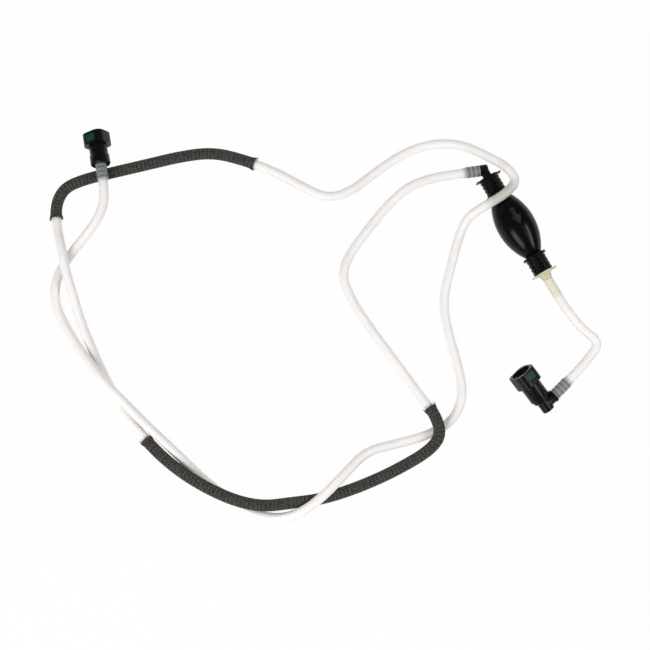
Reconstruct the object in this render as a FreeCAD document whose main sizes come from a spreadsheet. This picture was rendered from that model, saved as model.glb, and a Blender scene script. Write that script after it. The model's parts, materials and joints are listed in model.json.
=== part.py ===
import FreeCAD, Part
import math
import os
import re

import Sketcher
from FreeCAD import Placement, Rotation, Vector

# Hand primer pump for a fuel line: a squeeze bulb with a check valve in each neck, a long and a
# short hose, two braided sleeves, and a quick connector on each hose's far end.
# Frame: millimetres, +Z up, the floor at z = 0, +X along the bulb's axis in the flow's direction.
# The origin lies on the floor under the middle of the pump, from its elbow to its outlet spigot.

os.makedirs("parts", exist_ok=True)
doc = FreeCAD.newDocument("HandPrimerPump")
sheet = doc.addObject("Spreadsheet::Sheet", "Sizes")

SIZES = {
    # squeeze bulb
    "bulb_radius": 21.0,
    "belly_step": 0.92,
    "bulb_wall": 3.0,
    "belly_half": 36.0,
    "belly_x": -4.5,
    "neck_radius": 9.2,
    "neck_wall": 1.7,
    "neck_length": 23.5,
    "arrow_length": 20.0,
    "arrow_width": 12.0,
    "arrow_shaft": 4.6,
    "arrow_tip": 0.8,
    "arrow_relief": 0.8,
    "arrow_gap": 0.3,
    "arrow_back": 6.5,
    # clamp sleeves over the necks
    "sleeve_wall": 1.25,
    "sleeve_length": 21.0,
    "rib_height": 0.55,
    "rib_width": 1.6,
    "collar_radius": 13.2,
    "collar_width": 2.2,
    "window_size": 2.4,
    # how far a cutting tool runs past a face, and how far joined solids run into each other
    "overshoot": 1.0,
    # fittings pressed into the necks
    "slip": 0.1,
    "stem_relief": 0.5,
    "flange_radius": 11.3,
    "flange_thick": 1.5,
    "ear_reach": 14.6,
    "ear_width": 8.0,
    "ear_lip": 1.6,
    "ear_hook": 1.2,
    "ear_root": 2.0,
    "elbow_x": -74.5,
    "elbow_radius": 6.2,
    "elbow_back": 4.4,
    "heel_chamfer": 1.2,
    "elbow_front": 4.2,
    "elbow_turn": 69.0,
    "riser_radius": 5.0,
    "cone_radius": 7.4,
    "cone_tip_radius": 5.1,
    "cone_length": 6.8,
    "spigot_length": 21.5,
    "leg_barb_length": 16.8,
    # check valves
    "passage_radius": 2.6,
    "chamber_radius": 4.4,
    "chamber_length": 19.5,
    "ball_radius": 3.6,
    "valve_gap": 0.05,
    "cage_thick": 2.5,
    "cage_hole": 1.1,
    "spring_radius": 2.5,
    "spring_wire": 0.45,
    "spring_turns": 5.5,
    # hoses and barbs
    "hose_radius": 5.0,
    "hose_wall": 1.0,
    "barb_gap": 0.25,
    "barb_rise": 0.5,
    "barb_pitch": 5.0,
    "barb_land": 0.4,
    "barb_lead": 0.5,
    "end_gap": 0.3,
    "braid_wall": 1.0,
    "braid_gap": 0.3,
    "lower_braid_start": 378.0,
    "lower_braid_end": 766.0,
    "upper_braid_start": 1035.0,
    "upper_braid_end": 1286.0,
    # quick connector heads, alike on both connectors
    "head_side": 25.6,
    "head_corner": 8.0,
    "elbow_head_length": 16.0,
    "straight_head_length": 14.0,
    "cavity_radius": 10.5,
    "port_length": 9.4,
    "port_width": 12.0,
    "port_front": 2.0,
    "spigot_bore": 5.0,
    "pilot_length": 6.0,
    "seal_bore": 7.3,
    "seal_width": 2.2,
    "spacer_width": 1.4,
    "seal_room": 0.15,
    "bush_length": 2.0,
    "head_floor": 1.5,
    "head_passage": 8.0,
    "jaw_overlap": 1.0,
    "ring_gap": 0.02,
    # latch buttons
    "latch_slip": 0.2,
    "latch_inner": 6.9,
    "latch_cut": 2.2,
    "latch_sink": 0.3,
    # straight connector
    "straight_barb": 20.0,
    "collar_depth": 12.0,
    "collar_outer": 10.8,
    "collar_chamfer": 1.0,
    "collar_slope": 1.5,
    "straight_barrel": 10.6,
    "straight_barrel_radius": 9.9,
    "hose_socket": 6.9,
    "hose_socket_depth": 3.0,
    "straight_at_x": -263.9,
    "straight_at_y": -369.4,
    "straight_at_z": 20.7,
    "straight_yaw": 161.8,
    "straight_pitch": 5.5,
    "straight_roll": -28.0,
    # elbow connector
    "elbow_barrel_start": 9.5,
    "elbow_barrel": 19.5,
    "elbow_barrel_radius": 11.0,
    "elbow_collar_radius": 9.4,
    "elbow_collar_start": 5.0,
    "shoulder_slope": 0.8,
    "block_back": 7.0,
    "block_radius": 6.8,
    "branch_radius": 6.2,
    "branch_length": 14.2,
    "branch_rim_radius": 7.3,
    "branch_rim": 3.0,
    "branch_barb": 20.5,
    "branch_turn": 83.4,
    "branch_roll": 71.0,
    "elbow_at_x": 179.0,
    "elbow_at_y": -68.9,
    "elbow_at_z": 8.8,
    "elbow_yaw": 190.4,
    "elbow_pitch": -17.7,
    "elbow_roll": 17.0,
}

for row, (alias, value) in enumerate(SIZES.items(), start=1):
    sheet.set(f"A{row}", alias)
    sheet.set(f"B{row}", str(value))
    sheet.setAlias(f"B{row}", alias)
doc.recompute()

NODES = []


def bound(text):
    """The expression with each alias looked up in the sheet, such as 'a + 2' to 'Sizes.a + 2'."""
    return re.sub(r"\b([a-z]\w*)\b(?!\()", r"Sizes.\1", str(text))


def value(text):
    """An expression's number."""
    return float(sheet.evalExpression(bound(text)))


def bind(thing, prop, text):
    thing.setExpression(prop, bound(text))


def named(thing, label):
    """Gives an object its node name and lists it for export."""
    thing.Label = label
    NODES.append(thing)
    return thing


def origin_plane(body, role):
    return next(f for f in body.Origin.OriginFeatures if f.Role == role)


def outline_sketch(body, name, points, plane="XY_Plane"):
    """A closed outline. Each point is (x, y) or (x, y, radius): with a radius the edge to the next
    point is an arc that bulges away from the axis."""
    sketch = body.newObject("Sketcher::SketchObject", name)
    sketch.AttachmentSupport = [(origin_plane(body, plane), "")]
    sketch.MapMode = "FlatFace"
    corners = [Vector(value(p[0]), value(p[1]), 0) for p in points]
    count = len(points)
    for i, point in enumerate(points):
        a, b = corners[i], corners[(i + 1) % count]
        if len(point) == 2:
            sketch.addGeometry(Part.LineSegment(a, b))
            continue
        radius = value(point[2])
        half = (b - a).Length / 2
        up = Vector(0, 1, 0)
        centre = (a + b) / 2 - up * math.sqrt(radius**2 - half**2)
        left, right = (a, b) if a.x < b.x else (b, a)
        start = math.atan2(right.y - centre.y, right.x - centre.x)
        end = math.atan2(left.y - centre.y, left.x - centre.x)
        circle = Part.Circle(centre, Vector(0, 0, 1), radius)
        sketch.addGeometry(Part.ArcOfCircle(circle, start, end))
    first = [1 if len(p) == 2 or corners[i].x > corners[(i + 1) % count].x else 2
             for i, p in enumerate(points)]
    last = [3 - f for f in first]
    for i, point in enumerate(points):
        after = (i + 1) % count
        sketch.addConstraint(Sketcher.Constraint("Coincident", i, last[i], after, first[after]))
    for i, point in enumerate(points):
        for axis, text in (("DistanceX", point[0]), ("DistanceY", point[1])):
            if str(text) == "0":
                line = -1 if axis == "DistanceY" else -2
                sketch.addConstraint(Sketcher.Constraint("PointOnObject", i, first[i], line))
                continue
            number = sketch.addConstraint(
                Sketcher.Constraint(axis, -1, 1, i, first[i], value(text))
            )
            bind(sketch, f"Constraints[{number}]", text)
        if len(point) == 3:
            number = sketch.addConstraint(Sketcher.Constraint("Radius", i, value(point[2])))
            bind(sketch, f"Constraints[{number}]", point[2])
    return sketch


def turn(body, sketch, kind="PartDesign::Revolution"):
    """Turns a sketch once round the body's X axis, as material or as a groove."""
    feature = body.newObject(kind, sketch.Name + "Turn")
    feature.Profile = sketch
    feature.ReferenceAxis = (sketch, ["H_Axis"])
    feature.Angle = 360
    sketch.Visibility = False
    return feature


def turned(name, points):
    """A body that is one outline turned round the X axis."""
    body = doc.addObject("PartDesign::Body", name)
    turn(body, outline_sketch(body, name + "Outline", points))
    return body


def on_axis(thing, x):
    """Puts a turned piece on the bulb's axis, with its own zero at x."""
    bind(thing, "Placement.Base.x", x)
    bind(thing, "Placement.Base.z", "bulb_radius")
    return thing


def cylinder(name, radius, length):
    piece = doc.addObject("Part::Cylinder", name)
    bind(piece, "Radius", radius)
    bind(piece, "Height", length)
    return piece


def block(name, length, width, height, x, y, z):
    piece = doc.addObject("Part::Box", name)
    for prop, text in (("Length", length), ("Width", width), ("Height", height)):
        bind(piece, prop, text)
    for prop, text in (("x", x), ("y", y), ("z", z)):
        bind(piece, f"Placement.Base.{prop}", text)
    return piece


def fuse(name, pieces):
    joined = doc.addObject("Part::MultiFuse", name)
    joined.Shapes = pieces
    return joined


def cut(name, base, tool):
    piece = doc.addObject("Part::Cut", name)
    piece.Base = base
    piece.Tool = tool
    return piece


def common(name, base, tool):
    piece = doc.addObject("Part::Common", name)
    piece.Base = base
    piece.Tool = tool
    return piece


def barbs(start, length, towards_start):
    """The outer outline of a hose barb from x = start on: saw teeth that let the hose slide on."""
    top = "hose_radius - hose_wall - barb_gap"
    count = int(value(length) // value("barb_pitch"))
    points = []
    for i in range(count):
        low = f"{start} + {i} * barb_pitch"
        high = f"{start} + {i + 1} * barb_pitch - barb_land"
        low_radius = top if not towards_start else f"{top} - barb_rise"
        high_radius = f"{top} - barb_rise" if not towards_start else top
        points += [(low, low_radius), (high, high_radius)]
    return points


# ---------------------------------------------------------------- squeeze bulb
# The belly is one arc turned round the axis. The necks run inside the clamp sleeves.
def side_arc(half, rise):
    """The radius of the arc that rises by rise over a chord of twice half."""
    return f"((({half})^2 + ({rise})^2) / (2 * ({rise})))"


BELLY_EDGE = "(neck_radius + belly_step)"
BELLY_ARC = side_arc("belly_half", f"bulb_radius - {BELLY_EDGE}")


def make_bulb():
    end = "2 * neck_length + 2 * belly_half"
    body = doc.addObject("PartDesign::Body", "Bulb")
    outer = [
        ("0", "0"),
        ("0", "neck_radius"),
        ("neck_length", "neck_radius"),
        ("neck_length", BELLY_EDGE, BELLY_ARC),
        ("neck_length + 2 * belly_half", BELLY_EDGE),
        ("neck_length + 2 * belly_half", "neck_radius"),
        (end, "neck_radius"),
        (end, "0"),
    ]
    turn(body, outline_sketch(body, "BulbOuter", outer))
    bore = "neck_radius - neck_wall"
    inner_edge = f"({bore} + belly_step)"
    inner_arc = side_arc("belly_half - bulb_wall", f"bulb_radius - bulb_wall - {inner_edge}")
    inner = [
        ("0", "0"),
        ("0", bore),
        ("neck_length + bulb_wall", bore),
        ("neck_length + bulb_wall", inner_edge, inner_arc),
        ("neck_length + 2 * belly_half - bulb_wall", inner_edge),
        ("neck_length + 2 * belly_half - bulb_wall", bore),
        (end, bore),
        (end, "0"),
    ]
    turn(body, outline_sketch(body, "BulbInner", inner), "PartDesign::Groove")
    return named(on_axis(body, "belly_x - belly_half - neck_length"), "bulb")


# A raised arrow on the bulb's crown shows the flow's direction.
def make_arrow():
    edge = f"{BELLY_EDGE} + arrow_gap"
    band = turned(
        "ArrowBand",
        [
            ("2 * belly_half", edge),
            ("2 * belly_half", f"{edge} + arrow_relief", BELLY_ARC),
            ("0", f"{edge} + arrow_relief"),
            ("0", edge, BELLY_ARC),
        ],
    )
    on_axis(band, "belly_x - belly_half")
    start = "belly_x - arrow_back - arrow_length / 2"
    shaft = block("ArrowShaft", "arrow_length / 2", "arrow_shaft", "2 * bulb_radius",
                  start, "-arrow_shaft / 2", "bulb_radius")
    head = doc.addObject("Part::Wedge", "ArrowHead")
    for prop, text in (
        ("Xmin", "-arrow_width / 2"), ("Xmax", "arrow_width / 2"),
        ("X2min", "-arrow_tip / 2"), ("X2max", "arrow_tip / 2"),
        ("Ymin", "0"), ("Ymax", "arrow_length / 2"),
        ("Zmin", "0"), ("Zmax", "2 * bulb_radius"),
        ("Z2min", "0"), ("Z2max", "2 * bulb_radius"),
    ):
        bind(head, prop, text)
    head.Placement.Rotation = Rotation(Vector(0, 0, 1), -90)
    bind(head, "Placement.Base.x", f"{start} + arrow_length / 2")
    bind(head, "Placement.Base.z", "bulb_radius")
    named(common("Arrow", band, fuse("ArrowOutline", [shaft, head])), "bulb_flow_arrow")


# ---------------------------------------------------------------- clamp sleeves
# Each sleeve grips a neck on its fitting. Ribs ring it, and a wider collar faces the belly.
def make_sleeve(name, label, x, mirrored):
    inner = "neck_radius + slip"
    plain = f"{inner} + sleeve_wall"
    crest = f"{plain} + rib_height"
    ribs = 4
    room = f"(sleeve_length - collar_width) / {ribs}"
    steps = [("0", inner), ("0", plain)]
    for i in range(ribs):
        start = f"{i + 0.5} * {room} - rib_width / 2"
        steps += [(start, plain), (start, crest)]
        steps += [(f"{start} + rib_width", crest), (f"{start} + rib_width", plain)]
    edge = "sleeve_length - collar_width"
    steps += [(edge, plain), (edge, "collar_radius"), ("sleeve_length", "collar_radius")]
    steps += [("sleeve_length", inner)]
    body = turned(name, steps)
    windows = []
    for i in range(1, ribs):
        for side in (0, 60, 120):
            window = block(f"{name}Window{i}{side}", "window_size", "window_size",
                           "4 * neck_radius", "0", "0", "0")
            window.Placement.Rotation = Rotation(Vector(1, 0, 0), side)
            bind(window, "Placement.Base.x", f"{i} * {room} - window_size / 2")
            half = "(window_size / 2)"
            bind(window, "Placement.Base.y",
                 f"-{half} * cos({side}) + 2 * neck_radius * sin({side})")
            bind(window, "Placement.Base.z",
                 f"-{half} * sin({side}) - 2 * neck_radius * cos({side})")
            windows.append(window)
    sleeve = cut(name + "Cut", body, fuse(name + "Windows", windows))
    if mirrored:
        sleeve.Placement.Rotation = Rotation(Vector(0, 0, 1), 180)
    named(on_axis(sleeve, x), label)


# ---------------------------------------------------------------- fittings in the necks
def flange_ears(name, x, lip_x):
    """Two hooked ears that stand out sideways from a flange, which starts at x."""
    pieces = []
    for side in ("1", "-1"):
        reach = "ear_reach - flange_radius + ear_root"
        low = "flange_radius - ear_root" if side == "1" else "-ear_reach"
        ear = block(f"{name}Ear{side}", "flange_thick", reach, "ear_width",
                    x, low, "bulb_radius - ear_width / 2")
        lip_low = "ear_reach - ear_hook" if side == "1" else "-ear_reach"
        lip = block(f"{name}Lip{side}", "ear_lip", "ear_hook", "ear_width",
                    lip_x, lip_low, "bulb_radius - ear_width / 2")
        pieces += [ear, lip]
    return pieces


NECK_BORE = "neck_radius - neck_wall - slip"


def neck_stem(length):
    """The outline of a stem inside a neck: lands that the neck grips, with reliefs between."""
    lands = 3
    steps = []
    for i in range(lands):
        start = f"{i} * ({length}) / {lands}"
        end = f"{i + 0.7} * ({length}) / {lands}"
        steps += [(start, NECK_BORE), (end, NECK_BORE)]
        steps += [(end, f"{NECK_BORE} - stem_relief")]
        steps += [(f"{i + 1} * ({length}) / {lands}", f"{NECK_BORE} - stem_relief")]
    return steps


def make_inlet_elbow():
    stem_end = "belly_x - belly_half"
    flange_x = f"{stem_end} - neck_length - slip - flange_thick"
    riser_length = f"{flange_x} - elbow_x"
    stem_length = "neck_length + slip"
    steps = [("0", "0"), ("0", "riser_radius")]
    steps += [(riser_length, "riser_radius"), (riser_length, "flange_radius")]
    face = f"{riser_length} + flange_thick"
    steps += [(face, "flange_radius")]
    steps += [(f"{face} + ({x})", r) for x, r in neck_stem(stem_length)]
    steps += [(f"{face} + {stem_length}", "0")]
    main = on_axis(turned("ElbowMain", steps), "elbow_x")
    bore_steps = [
        ("0", "0"),
        ("0", "passage_radius"),
        (f"{face} + {stem_length} - chamber_length", "passage_radius"),
        (f"{face} + {stem_length} - chamber_length", "chamber_radius"),
        (f"{face} + {stem_length} + overshoot", "chamber_radius"),
        (f"{face} + {stem_length} + overshoot", "0"),
    ]
    bore = on_axis(turned("ElbowBore", bore_steps), "elbow_x")

    # the leg that the long hose slides on, turned away from the bulb
    root = "elbow_back + elbow_front"
    tip = f"{root} + leg_barb_length"
    barb = "hose_radius - hose_wall - barb_gap - barb_rise"
    leg_steps = [("0", "0"), ("0", "elbow_radius - heel_chamfer"),
                 ("heel_chamfer", "elbow_radius")]
    leg_steps += [(root, "elbow_radius"), (root, barb)]
    leg_steps += barbs(f"{root} + barb_lead", "leg_barb_length", False)
    leg_steps += [(tip, barb), (tip, "0")]
    leg = turned("ElbowLeg", leg_steps)
    leg_bore = turned(
        "ElbowLegBore",
        [
            ("elbow_back", "0"),
            ("elbow_back", "passage_radius"),
            (f"{tip} + overshoot", "passage_radius"),
            (f"{tip} + overshoot", "0"),
        ],
    )
    turn_angle = Rotation(Vector(0, 0, 1), 180 + value("elbow_turn"))
    back = turn_angle.multVec(Vector(-value("elbow_back"), 0, 0))
    base = Vector(value("elbow_x"), 0, value("bulb_radius")) + back
    for piece in (leg, leg_bore):
        piece.Placement = Placement(base, turn_angle)
    solid = fuse("ElbowSolid", [main, leg] + flange_ears("Elbow", flange_x, flange_x))
    hollow = fuse("ElbowHollow", [bore, leg_bore])
    named(cut("InletElbow", solid, hollow), "inlet_elbow")


def make_outlet_stem():
    start = "belly_x + belly_half"
    length = "neck_length + slip"
    steps = [("0", "0")] + neck_stem(length)
    flange_end = f"{length} + flange_thick"
    steps += [(length, "flange_radius"), (flange_end, "flange_radius")]
    steps += [(flange_end, "cone_radius")]
    cone_end = f"{flange_end} + cone_length"
    steps += [(cone_end, "cone_tip_radius")]
    tip = f"{cone_end} + spigot_length"
    barb = "hose_radius - hose_wall - barb_gap - barb_rise"
    steps += [(cone_end, barb)]
    steps += barbs(f"{cone_end} + barb_lead", "spigot_length", False)
    steps += [(tip, barb), (tip, "0")]
    main = on_axis(turned("OutletMain", steps), start)
    bore = on_axis(
        turned(
            "OutletBore",
            [
                ("0", "0"),
                ("0", "chamber_radius"),
                ("chamber_length", "chamber_radius"),
                ("chamber_length", "passage_radius"),
                (f"{tip} + overshoot", "passage_radius"),
                (f"{tip} + overshoot", "0"),
            ],
        ),
        start,
    )
    flange_x = f"{start} + {length}"
    ears = flange_ears("Outlet", flange_x, flange_x)
    named(cut("OutletStem", fuse("OutletSolid", [main] + ears), bore), "outlet_stem")


# ---------------------------------------------------------------- check valves
# In both necks a ball rests on the upstream seat, and a light spring behind it closes it again.
SEAT_TO_BALL = "sqrt(ball_radius^2 - passage_radius^2) + valve_gap"


def make_ball(name, label, seat_x):
    ball = doc.addObject("Part::Sphere", name)
    bind(ball, "Radius", "ball_radius")
    named(on_axis(ball, f"{seat_x} + {SEAT_TO_BALL}"), label)


def make_spring(name, label, start, end):
    """A compression spring between two places on the axis: an eight-sided wire along a helix."""
    wire_radius = "spring_wire / 2"
    flats = 8
    helix = doc.addObject("Part::Helix", name + "Helix")
    bind(helix, "Radius", "spring_radius")
    bind(helix, "Height", f"({end}) - ({start}) - spring_wire")
    bind(helix, "Pitch", f"(({end}) - ({start}) - spring_wire) / spring_turns")
    section = doc.addObject("Part::RegularPolygon", name + "Section")
    section.Polygon = flats
    bind(section, "Circumradius", wire_radius)
    section.Placement.Rotation = Rotation(Vector(1, 0, 0), 90)
    bind(section, "Placement.Base.x", "spring_radius")
    sweep = doc.addObject("Part::Sweep", name)
    sweep.Sections = [section]
    sweep.Spine = (helix, ["Edge1"])
    sweep.Solid = True
    sweep.Frenet = True
    sweep.Placement.Rotation = Rotation(Vector(0, 1, 0), 90)
    named(on_axis(sweep, f"{start} + {wire_radius}"), label)


def make_disc(name, label, x, holes):
    """A disc pressed into a chamber's mouth: a ring of holes lets the fuel by, or one bore does."""
    radius = "chamber_radius - valve_gap"
    disc = cylinder(name + "Disc", radius, "cage_thick")
    tools = []
    for i in range(holes):
        hole = cylinder(f"{name}Hole{i}", "cage_hole", "cage_thick")
        angle = 360 * i / holes
        bind(hole, "Placement.Base.x", f"passage_radius * cos({angle})")
        bind(hole, "Placement.Base.y", f"passage_radius * sin({angle})")
        tools.append(hole)
    opening = (fuse(name + "Holes", tools) if holes
               else cylinder(name + "Bore", "passage_radius", "cage_thick"))
    piece = cut(name, disc, opening)
    piece.Placement.Rotation = Rotation(Vector(0, 1, 0), 90)
    named(on_axis(piece, x), label)


def make_valves():
    inlet_seat = "belly_x - belly_half - chamber_length"
    inlet_cage = "belly_x - belly_half - cage_thick"
    make_ball("InletBall", "inlet_valve_ball", inlet_seat)
    make_disc("InletCage", "inlet_valve_cage", inlet_cage, 6)
    make_spring("InletSpring", "inlet_valve_spring",
                f"{inlet_seat} + {SEAT_TO_BALL} + ball_radius + valve_gap",
                f"{inlet_cage} - valve_gap")
    outlet_seat = "belly_x + belly_half + cage_thick"
    make_disc("OutletSeat", "outlet_valve_seat", "belly_x + belly_half", 0)
    make_ball("OutletBall", "outlet_valve_ball", outlet_seat)
    make_spring("OutletSpring", "outlet_valve_spring",
                f"{outlet_seat} + {SEAT_TO_BALL} + ball_radius + valve_gap",
                "belly_x + belly_half + chamber_length - valve_gap")


# ---------------------------------------------------------------- quick connectors
# A connector's own frame has +X out of its mouth and +Z square to the latch ports.
SEAL_START = "({head} + head_floor - bush_length - seal_room - 2 * seal_width - spacer_width)"


def port_start(head, length):
    """Where the latch ports begin, in a head that starts at head and is this long."""
    return f"{head} + {length} - port_front - port_length"


def make_housing(name, head, length, barrel):
    """The square head from head on, the turned barrel and the bored inside of a connector."""
    body = doc.addObject("PartDesign::Body", name)
    turn(body, outline_sketch(body, name + "Barrel", barrel))
    half = "head_side / 2"
    sketch = body.newObject("Sketcher::SketchObject", name + "HeadOutline")
    sketch.AttachmentSupport = [(origin_plane(body, "YZ_Plane"), "")]
    sketch.MapMode = "FlatFace"
    bind(sketch, "AttachmentOffset.Base.z", head)
    reach = value(half)
    corners = [Vector(x, y, 0) for x, y in
               ((-reach, -reach), (reach, -reach), (reach, reach), (-reach, reach))]
    for i in range(4):
        sketch.addGeometry(Part.LineSegment(corners[i], corners[(i + 1) % 4]))
        kind = "Horizontal" if i % 2 == 0 else "Vertical"
        sketch.addConstraint(Sketcher.Constraint(kind, i))
    for i in range(4):
        sketch.addConstraint(Sketcher.Constraint("Coincident", i, 2, (i + 1) % 4, 1))
    sketch.addConstraint(Sketcher.Constraint("Symmetric", 0, 1, 1, 2, -1, 1))
    for axis, line in (("DistanceX", 0), ("DistanceY", 1)):
        number = sketch.addConstraint(Sketcher.Constraint(axis, line, 1, line, 2, 2 * reach))
        bind(sketch, f"Constraints[{number}]", "head_side")
    pad = body.newObject("PartDesign::Pad", name + "Head")
    pad.Profile = sketch
    bind(pad, "Length", length)
    doc.recompute()
    edges = []
    for i, edge in enumerate(pad.Shape.Edges, start=1):
        ends = [v.Point for v in edge.Vertexes]
        if len(ends) == 2 and abs(abs(ends[0].x - ends[1].x) - value(length)) < 0.01:
            if abs(abs(ends[0].y) - reach) < 0.01 and abs(abs(ends[0].z) - reach) < 0.01:
                edges.append(f"Edge{i}")
    corner = body.newObject("PartDesign::Fillet", name + "Corners")
    corner.Base = (pad, edges)
    bind(corner, "Radius", "head_corner")
    mouth = f"{head} + {length} + overshoot"
    floor = f"{head} + head_floor"
    seal_start = SEAL_START.format(head=head)
    pilot = f"{seal_start} - pilot_length"
    inside = [
        (f"{pilot} - head_passage", "0"),
        (f"{pilot} - head_passage", "passage_radius"),
        (pilot, "passage_radius"),
        (pilot, "spigot_bore"),
        (seal_start, "spigot_bore"),
        (seal_start, "seal_bore"),
        (floor, "seal_bore"),
        (floor, "cavity_radius"),
        (mouth, "cavity_radius"),
        (mouth, "0"),
    ]
    turn(body, outline_sketch(body, name + "Inside", inside), "PartDesign::Groove")
    port = block(name + "Port", "port_length", "port_width", "head_side + 2 * overshoot",
                 port_start(head, length), "-port_width / 2", "-head_side / 2 - overshoot")
    return cut(name + "Open", body, port)


def pose(prefix):
    """A connector's place: its own origin and its three turns."""
    corner = [value(f"{prefix}_at_{axis}") for axis in "xyz"]
    turns = [value(f"{prefix}_{name}") for name in ("yaw", "pitch", "roll")]
    return Placement(Vector(*corner), Rotation(*turns))


def ring(name, x, inner, outer, width):
    return turned(name, [(x, inner), (x, outer), (f"{x} + {width}", outer),
                         (f"{x} + {width}", inner)])


def make_inner_pieces(prefix, head, length, place):
    """The seals, spacer, guide bush and latch buttons of one connector."""
    name = prefix.capitalize()
    seal_start = SEAL_START.format(head=head)
    clear = "(spigot_bore + seal_room)"
    pieces = []
    for label, x in (
        ("inner_o_ring", seal_start),
        ("outer_o_ring", f"{seal_start} + seal_width + spacer_width"),
    ):
        torus = doc.addObject("Part::Torus", f"{name}{label}")
        bind(torus, "Radius1", f"({clear} + seal_bore) / 2")
        bind(torus, "Radius2", f"(seal_bore - {clear}) / 2 - ring_gap")
        centre = Vector(value(f"{x} + seal_width / 2"), 0, 0)
        torus.Placement = Placement(centre, Rotation(Vector(0, 1, 0), 90))
        pieces.append((torus, f"{prefix}_{label}"))
    spacer = ring(f"{name}Spacer", f"{seal_start} + seal_width + valve_gap", clear,
                  "seal_bore - valve_gap", "spacer_width - 2 * valve_gap")
    bush = ring(f"{name}Bush", f"{head} + head_floor - bush_length", clear,
                "seal_bore - valve_gap", "bush_length")
    pieces += [(spacer, f"{prefix}_seal_spacer"), (bush, f"{prefix}_guide_bush")]
    for side, label in ((1, "upper"), (-1, "lower")):
        start = f"{port_start(head, length)} + latch_slip"
        depth = "port_length - 2 * latch_slip"
        jaw = ring(f"{name}{label}Jaw", start, "latch_inner", "cavity_radius - latch_slip", depth)
        pad_base = "latch_inner + jaw_overlap"
        pad_top = "head_side / 2 - latch_sink"
        low = pad_base if side == 1 else f"-({pad_top})"
        keep_low = "latch_cut" if side == 1 else "-head_side"
        keep = block(f"{name}{label}Keep", f"2 * {length}", "head_side", "head_side - latch_cut",
                     head, "-head_side / 2", keep_low)
        half = common(f"{name}{label}Half", jaw, keep)
        pad = block(f"{name}{label}Pad", depth, "port_width - 2 * latch_slip",
                    f"{pad_top} - ({pad_base})", start, "-port_width / 2 + latch_slip", low)
        pieces.append((fuse(f"{name}{label}Latch", [half, pad]), f"{prefix}_latch_{label}"))
    for piece, label in pieces:
        piece.Placement = place.multiply(piece.Placement)
        named(piece, label)


def make_straight_connector():
    head = "(straight_barb + collar_depth + straight_barrel)"
    collar_end = "straight_barb + collar_depth"
    barrel = [
        ("straight_barb", "0"),
        ("straight_barb", "collar_outer - collar_chamfer"),
        ("straight_barb + collar_chamfer", "collar_outer"),
        (f"{collar_end} - collar_slope", "collar_outer"),
        (collar_end, "straight_barrel_radius"),
        (f"{head} + overshoot", "straight_barrel_radius"),
        (f"{head} + overshoot", "0"),
    ]
    housing = make_housing("Straight", head, "straight_head_length", barrel)
    stem_radius = "hose_radius - hose_wall - barb_gap - barb_rise"
    socket = turned(
        "StraightSocket",
        [
            ("straight_barb - overshoot", stem_radius),
            ("straight_barb - overshoot", "hose_socket"),
            ("straight_barb + hose_socket_depth", "hose_socket"),
            ("straight_barb + hose_socket_depth", stem_radius),
        ],
    )
    steps = [("0", "0")] + barbs("0", "straight_barb", True)
    steps += [("straight_barb + hose_socket_depth + overshoot", stem_radius)]
    steps += [("straight_barb + hose_socket_depth + overshoot", "0")]
    stem = turned("StraightStem", steps)
    bore = turned("StraightBore", [("0", "0"), ("0", "passage_radius"),
                                   ("straight_barb + 2 * overshoot", "passage_radius"),
                                   ("straight_barb + 2 * overshoot", "0")])
    whole = fuse("StraightSolid", [cut("StraightShell", housing, socket), stem])
    body = cut("StraightBody", whole, bore)
    place = pose("straight")
    body.Placement = place
    named(body, "straight_connector_body")
    make_inner_pieces("straight", head, "straight_head_length", place)


def branch_rotation():
    """Turns a piece's X axis along the elbow connector's hose branch."""
    lean = Rotation(Vector(0, 1, 0), -value("branch_turn"))
    return Rotation(Vector(1, 0, 0), value("branch_roll")).multiply(lean)


def make_elbow_connector():
    head = "(elbow_barrel_start + elbow_barrel)"
    barrel = [
        ("elbow_collar_start", "0"),
        ("elbow_collar_start", "elbow_collar_radius - collar_chamfer"),
        ("elbow_collar_start + collar_chamfer", "elbow_collar_radius"),
        ("elbow_barrel_start - shoulder_slope", "elbow_collar_radius"),
        ("elbow_barrel_start", "elbow_barrel_radius"),
        (f"{head} + overshoot", "elbow_barrel_radius"),
        (f"{head} + overshoot", "0"),
    ]
    housing = make_housing("Elbow", head, "elbow_head_length", barrel)
    heel = cylinder("ElbowHeel", "block_radius", "block_back + elbow_collar_start + overshoot")
    heel.Placement = Placement(Vector(-value("block_back"), 0, 0), Rotation(Vector(0, 1, 0), 90))
    rim = "branch_length - branch_rim"
    stem_radius = "hose_radius - hose_wall - barb_gap - barb_rise"
    tip = "branch_length + branch_barb"
    steps = [("0", "0"), ("0", "branch_radius"), (rim, "branch_radius")]
    steps += [(rim, "branch_rim_radius"), ("branch_length", "branch_rim_radius")]
    steps += [("branch_length", stem_radius)]
    steps += barbs("branch_length + barb_lead", "branch_barb", False)
    steps += [(tip, stem_radius), (tip, "0")]
    branch = turned("Branch", steps)
    past_tip = f"{tip} + overshoot"
    branch_bore = turned("BranchBore", [("0", "0"), ("0", "passage_radius"),
                                        (past_tip, "passage_radius"), (past_tip, "0")])
    for piece in (branch, branch_bore):
        piece.Placement.Rotation = branch_rotation()
    bore = cylinder("ElbowThrough", "passage_radius", "elbow_barrel_start + 2 * overshoot")
    bore.Placement.Rotation = Rotation(Vector(0, 1, 0), 90)
    knee = doc.addObject("Part::Sphere", "ElbowKnee")
    bind(knee, "Radius", "passage_radius")
    solid = fuse("ElbowWhole", [housing, heel, branch])
    body = cut("ElbowBody", solid, fuse("ElbowPassages", [branch_bore, bore, knee]))
    place = pose("elbow")
    body.Placement = place
    named(body, "elbow_connector_body")
    make_inner_pieces("elbow", head, "elbow_head_length", place)


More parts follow.
